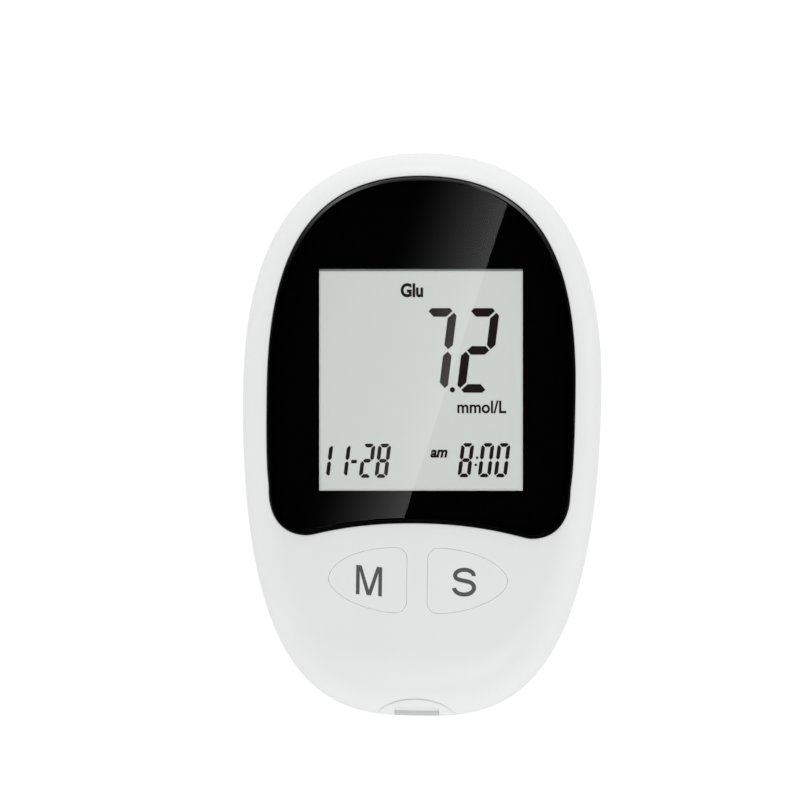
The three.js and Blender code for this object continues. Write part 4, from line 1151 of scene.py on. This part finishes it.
# Battery cells and their contacts
# The real pieces are two dry cells of 10.5 by 44.5 mm in plain printed jackets that are shrunk
# over their steel ends. Coil springs and dimpled plates of nickel plated steel touch their ends,
# and a bridge plate joins the pair at the top end.
CELL_Z = 7.4
CELL_RADIUS = 5.25
CELL_LENGTH = 44.5
NUB_HEIGHT = 0.8
BAND = (36.5, 42.6)
LINE = (35.6, 36.0)
CELL_FLATS = [("battery_cell_1", -CELL_X, -8.6, 1), ("battery_cell_2", CELL_X, 32.0, -1)]
cap_y = CELL_LENGTH - NUB_HEIGHT


def bent(points, middle, reach, start, end, steps=6):
    """The profile with a quarter round added, given as its middle and its angles."""
    return points + [tuple(point) for point in arc(middle, reach, start, end, steps)]


# Each profile runs from the flat end to the raised one as distances from the axis and along it.
steel_foot = [(0, 0.12), (2.9, 0.12), (3.1, 0), (4.35, 0), (4.55, 0.2)]
jacket = bent([(4.4, 0.1)], (CELL_RADIUS - 0.5, 0.5), (0.5, 0.5), -90, 0)
jacket = bent(jacket, (CELL_RADIUS - 0.5, cap_y - 0.5), (0.5, 0.5), 0, 90)
jacket += [(4.3, cap_y - 0.02)]
steel_cap = [(4.3, cap_y - 0.25), (2.5, cap_y - 0.2), (2.0, cap_y - 0.1)]
steel_cap = bent(steel_cap, (1.6, CELL_LENGTH - 0.3), (0.3, 0.3), 0, 90)
steel_cap += [(0, CELL_LENGTH)]
profile = steel_foot + jacket + steel_cap
wrapped = range(len(steel_foot), len(steel_foot) + len(jacket) - 1)


def turned(name, profile, x, y, z, direction, steps=64):
    """A solid of revolution about an axis along Y, its profile ending on the axis."""
    turn = np.arange(steps) / steps * 2 * math.pi * direction
    points = [(x, y + direction * profile[0][1], z)]
    for radius, along in profile[1:-1]:
        points += [(x + radius * math.sin(angle), y + direction * along,
                    z + radius * math.cos(angle)) for angle in turn]
    points.append((x, y + direction * profile[-1][1], z))
    faces = [(0, 1 + (i + 1) % steps, 1 + i) for i in range(steps)]
    rows = [0] * steps
    for ring in range(len(profile) - 3):
        low = 1 + ring * steps
        for i in range(steps):
            after = (i + 1) % steps
            faces.append((low + i, low + after, low + steps + after, low + steps + i))
        rows += [ring + 1] * steps
    low = 1 + (len(profile) - 3) * steps
    faces += [(len(points) - 1, low + i, low + (i + 1) % steps) for i in range(steps)]
    rows += [len(profile) - 2] * steps
    return placed(name, points, faces), rows


def cell_jacket(flat_y, direction):
    """A shrunk printed jacket: dark green, with a lighter band round its positive end."""
    def surface(nodes):
        along = (nodes.axes()[1] - flat_y * MM) * direction
        band, line = ((along > low * MM) * (along < high * MM) for low, high in (BAND, LINE))
        drift = nodes.noise(6)
        ground = nodes.mix(drift, (0.022, 0.14, 0.095), (0.032, 0.17, 0.12))
        return nodes.solid(nodes.mix(band + 0.8 * line, ground, (0.5, 0.52, 0.5)),
                           0.3 + 0.08 * drift, nodes.bump(drift, 0.02))
    return surface


for name, x, flat_y, direction in CELL_FLATS:
    cell, rows = turned(name + "_jacketed", profile, x, flat_y, CELL_Z, direction)
    dressed(cell, nickel, "housing", [name])
    cell.data.materials.append(finish(name + "_jacket", cell_jacket(flat_y, direction)))
    for face, row in zip(cell.data.polygons, rows):
        face.material_index = 1 if row in wrapped else 0
    smoothed(cell, 40)
redressed(nickel, "battery_plate_negative", "battery_plate_positive", "battery_bridge_plate")


def node_made(name, sizes, points, build):
    """A piece made by a Geometry Nodes tree from named sizes and a list of places."""
    tree = bpy.data.node_groups.new(name, "GeometryNodeTree")
    tree.interface.new_socket("Places", in_out="INPUT", socket_type="NodeSocketGeometry")
    keys = {}
    for label, size in sizes.items():
        kind = "NodeSocketInt" if isinstance(size, int) else "NodeSocketFloat"
        made = tree.interface.new_socket(label, in_out="INPUT", socket_type=kind)
        keys[label] = made.identifier
    tree.interface.new_socket("Piece", in_out="OUTPUT", socket_type="NodeSocketGeometry")
    nodes = Nodes(tree)
    entry = tree.nodes.new("NodeGroupInput")
    given = {socket.name: Value(nodes, socket) for socket in entry.outputs if socket.name}
    nodes.node("NodeGroupOutput", (), {0: build(nodes, given)})
    piece = placed(name, points, [])
    modifier = piece.modifiers.new(name, "NODES")
    modifier.node_group = tree
    for label, size in sizes.items():
        modifier[keys[label]] = size
    return settled(piece)


def copied(nodes, given, instance, material, scale=(1.0, 1.0, 1.0)):
    """The end of a tree: a copy at each place, made real and given its material."""
    copies = nodes.node("GeometryNodeInstanceOnPoints", (), {
        "Points": given["Places"], "Instance": instance, "Scale": scale,
    })
    real = nodes.node("GeometryNodeRealizeInstances", (), {0: copies})
    smooth = nodes.node("GeometryNodeSetShadeSmooth", (), {"Geometry": real})
    return nodes.node("GeometryNodeSetMaterial", (), {"Geometry": smooth, "Material": material})


def coil(nodes, given):
    """A tapering coil of round wire along Y, from each place towards its cell."""
    line = nodes.node("GeometryNodeCurveSpiral", (), {
        "Resolution": given["Points per Turn"], "Rotations": given["Turns"],
        "Start Radius": given["Base Radius"], "End Radius": given["Tip Radius"],
        "Height": given["Rise"],
    })
    wire = nodes.swept(line, nodes.ring(12, given["Wire Radius"]))
    turned_down = nodes.node("GeometryNodeTransform", (), {
        "Geometry": wire, "Rotation": (-math.pi / 2, 0.0, 0.0),
    })
    return copied(nodes, given, turned_down, nickel)


spring_sizes = {
    "Points per Turn": 40, "Turns": 3.5, "Base Radius": 3.3 * MM, "Tip Radius": 1.9 * MM,
    "Rise": 3.5 * MM, "Wire Radius": 0.25 * MM,
}
for number, x, y, direction in ((1, -CELL_X, -12.7, 1), (2, CELL_X, 36.1, -1)):
    sizes = {**spring_sizes, "Rise": direction * spring_sizes["Rise"]}
    spring = node_made(f"battery_spring_coil_{number}", sizes, [(x, y, CELL_Z)], coil)
    dressed(spring, None, "housing", [f"battery_spring_{number}"])

# Screws
# The real pieces are self tapping screws of zinc plated steel. Four long ones come in through the
# rear cover's columns into the front cover's bosses, and four short ones hold the board.


def screw(nodes, given):
    """A pan head with a crossed drive below each place, and a threaded shank above it."""
    head_height = given["Head Height"]
    shank_length = given["Shank Length"]
    head = nodes.node("GeometryNodeMeshCylinder", (), {
        "Vertices": 48, "Side Segments": 10, "Fill Segments": 1, "Radius": given["Head Radius"],
        "Depth": head_height,
    })
    x, y, z = nodes.axes(nodes.node("GeometryNodeInputPosition"))
    down = (z * -2.0 / head_height).at_least(0.0)
    crown = 1 - 0.2 * down ** 3
    domed = nodes.node("GeometryNodeSetPosition", (), {
        "Geometry": head, "Position": nodes.vector(x * crown, y * crown, z),
    })
    width = given["Slot Width"]
    reach = given["Slot Reach"] * 2.0
    deep = given["Slot Depth"] * 2.0
    slots = [
        nodes.moved(nodes.node("GeometryNodeMeshCube", (), {"Size": nodes.vector(*sides, deep)}),
                    head_height * -1.0)
        for sides in ((width, reach), (reach, width))
    ]
    driven = nodes.node("GeometryNodeMeshBoolean",
                        {"operation": "DIFFERENCE", "solver": "MANIFOLD"},
                        {"Mesh 1": nodes.moved(domed, head_height * -0.5), "Mesh 2": slots})
    shank = nodes.node("GeometryNodeMeshCylinder", (), {
        "Vertices": 24, "Radius": given["Shank Radius"], "Depth": shank_length,
    })
    helix = nodes.node("GeometryNodeCurveSpiral", (), {
        "Resolution": 20, "Rotations": shank_length / given["Thread Pitch"],
        "Start Radius": given["Shank Radius"], "End Radius": given["Shank Radius"] * 0.97,
        "Height": shank_length * 0.94,
    })
    ridge = nodes.ring(3, given["Thread Height"])
    whole = nodes.node("GeometryNodeJoinGeometry", (), {
        0: [driven, nodes.moved(shank, shank_length * 0.49), nodes.swept(helix, ridge)],
    })
    return copied(nodes, given, whole, zinc)


zinc = plated("zinc_plated_steel", (0.45, 0.46, 0.48), (0.6, 0.6, 0.6), 0.32, 0.3)
SCREW_SIZES = {
    "Head Radius": (2.3, 1.8), "Head Height": (1.6, 1.1), "Shank Radius": (0.95, 0.7),
    "Shank Length": (9.95, 3.2), "Thread Height": (0.26, 0.2), "Thread Pitch": (1.0, 0.7),
    "Slot Width": (0.6, 0.4), "Slot Reach": (1.4, 1.0), "Slot Depth": (0.9, 0.6),
}
screw_kinds = [("housing_screws", 3.55, SCREW_PLACES), ("board_screws", 14.45, POST_PLACES)]
for kind, (name, seat_z, places) in enumerate(screw_kinds):
    sizes = {label: pair[kind] * MM for label, pair in SCREW_SIZES.items()}
    screws = node_made(name, sizes, [(x, y, seat_z) for x, y in places], screw)
    screws.data.set_sharp_from_angle(angle=math.radians(35))
    stands_for = [f"{name[:-1]}_{number}" for number in range(1, 5)]
    dressed(screws, None, "housing", stands_for)

# Door ribs
# The real ribs are moulded on the battery door, low and rounded, so that a thumb can push it.


def rib_row(nodes, given):
    """Rounded ribs in a row, each tapering away at its two ends."""
    half = given["Rib Length"] * 0.5
    line = nodes.node("GeometryNodeCurvePrimitiveLine", (), {
        "Start": nodes.vector(half * -1.0), "End": nodes.vector(half),
    })
    fine = nodes.node("GeometryNodeResampleCurve", (), {"Curve": line, "Count": 41})
    share = nodes.node("GeometryNodeSplineParameter")
    from_middle = abs(share * 2.0 - 1.0)
    swell = (1.0 - from_middle ** 16) ** 0.5
    shaped = nodes.node("GeometryNodeSetCurveRadius", (), {"Curve": fine, "Radius": swell})
    section = nodes.ring(20, given["Rib Width"] * 0.5)
    flat = nodes.vector(1.0, 1.0, given["Rib Height"] / (given["Rib Width"] * 0.5))
    return copied(nodes, given, nodes.swept(shaped, section, swell), door_white, flat)


RIB_LOW_Y = 21.7
RIB_PITCH = 1.9
RIBS = 6
rib_places = [(0.0, RIB_LOW_Y + RIB_PITCH * number, DOOR_RECESS) for number in range(RIBS)]
door_white = door.data.materials[0]
ribs = node_made("door_grip_ribs", {
    "Rib Length": 13.0 * MM, "Rib Width": 0.9 * MM, "Rib Height": 0.2 * MM,
}, rib_places, rib_row)
dressed(ribs, None, "door")

# Studio: a plain pale floor, soft light and the camera of the photograph. A black flag with one
# pale band hangs over the meter for reflections alone, and gives the window its slanting glare.
VIEW_YAW = math.radians(1.3)
VIEW_ROLL = math.radians(0.905)
VIEW_DISTANCE = 1.6
PICTURE_WIDTH = 0.1337
AIM = Vector((-3.61, 5.73, 16.0)) * MM
AMBIENT = 1.21
MIRRORED = 0.75
FLOOR_SEEN = 1.08
FLOOR_GLOW_SHARE = 0.84
FLOOR_RADIUS = 3000
FLAG_Z = 500
FLAG_HALF = 170
FLAG_EDGE = -6.6
FLAG_FADE = 21.0
FLAG_LEAN = math.radians(17.3)
FLAG_GLOW = 1.25


def floor_surface(nodes):
    """White to the camera and in reflections, with a share of the shadow kept, clear from below."""
    direct = nodes.seen("Camera")
    shown = (direct + nodes.seen("Glossy") + nodes.seen("Transmission")).at_most(1.0)
    diffuse = nodes.node("ShaderNodeBsdfDiffuse", (), {"Color": (0.82, 0.82, 0.82, 1.0)})
    glow = nodes.glow(MIRRORED + (FLOOR_SEEN - MIRRORED) * direct)
    lit = nodes.blend(FLOOR_GLOW_SHARE * shown, diffuse, glow)
    below = nodes.node("ShaderNodeNewGeometry", output="Backfacing")
    return nodes.blend(below, lit, nodes.node("ShaderNodeBsdfTransparent"))


rim = circle(FLOOR_RADIUS, 0, 0, 96)
floor = placed("studio_floor", [(x, y, -FILM) for x, y in rim], [tuple(range(len(rim)))])
floor.data.materials.append(finish("white_studio_floor", floor_surface))
floor.visible_shadow = False


def flag_surface(nodes):
    """Black but for a band that is brightest at its straight slanting edge."""
    x, y = nodes.axes()[:2]
    across = x * math.cos(FLAG_LEAN) - y * math.sin(FLAG_LEAN) - FLAG_EDGE * MM
    near = (1.0 + across / (FLAG_FADE * MM)).at_least(0.0) ** 2.2
    return nodes.glow(FLAG_GLOW * (near * (across < 0.0)))


flag = block("studio_flag", (-FLAG_HALF, -FLAG_HALF, FLAG_Z), (FLAG_HALF, FLAG_HALF, FLAG_Z + 1))
flag.data.materials.append(finish("black_flag_with_band", flag_surface))
for way in ("camera", "diffuse", "shadow", "transmission", "volume_scatter"):
    setattr(flag, "visible_" + way, False)


def lamp(name, place, size, power):
    """A square soft light that faces the meter."""
    light = bpy.data.lights.new(name, "AREA")
    light.shape = "SQUARE"
    light.size = size
    light.energy = power
    made = bpy.data.objects.new(name, light)
    made.location = place
    made.rotation_euler = (-made.location).to_track_quat("-Z", "Y").to_euler()
    bpy.context.scene.collection.objects.link(made)
    return made


lamp("top_softbox", (0.0, 0.9, 0.35), 0.5, 1.65)
lamp("nose_softbox", (0.05, -0.2, 0.35), 0.15, 0.22)
lamp("under_softbox", (0.1, 0.22, -0.45), 0.3, 0.34)
table = lamp("table_light", (0.0, 0.0, -0.001), 0.046, 0.0088)
table.data.shape = "ELLIPSE"
table.data.size_y = 0.082

world = bpy.data.worlds.new("studio_surroundings")
world.use_nodes = True
world.node_tree.nodes.clear()
around = Nodes(world.node_tree)
direct = around.seen("Camera")
indirect = (around.seen("Glossy") + around.seen("Transmission")).at_most(1.0)
height = around.axes(around.node("ShaderNodeTexCoord", output="Generated"))[2]
soft = AMBIENT * (1.3 - height.at_least(0.0))
strength = soft * (1 - direct) * (1 - indirect) + direct + MIRRORED * indirect * (1 - direct)
background = around.node("ShaderNodeBackground", (), {
    "Color": (1.0, 1.0, 1.0, 1.0), "Strength": strength,
})
around.node("ShaderNodeOutputWorld", (), {"Surface": background})
bpy.context.scene.world = world
bpy.context.scene.view_settings.view_transform = "Standard"

lens = bpy.data.cameras.new("photo_camera")
lens.sensor_width = 36.0
lens.lens = 36.0 * VIEW_DISTANCE / PICTURE_WIDTH
lens.clip_start = 0.1
lens.clip_end = 20.0
camera = bpy.data.objects.new("photo_camera", lens)
camera.matrix_world = (
    Matrix.Translation(AIM)
    @ Matrix.Rotation(VIEW_YAW, 4, "Y")
    @ Matrix.Rotation(VIEW_ROLL, 4, "Z")
    @ Matrix.Translation((0, 0, VIEW_DISTANCE))
)
bpy.context.scene.collection.objects.link(camera)
bpy.context.scene.camera = camera
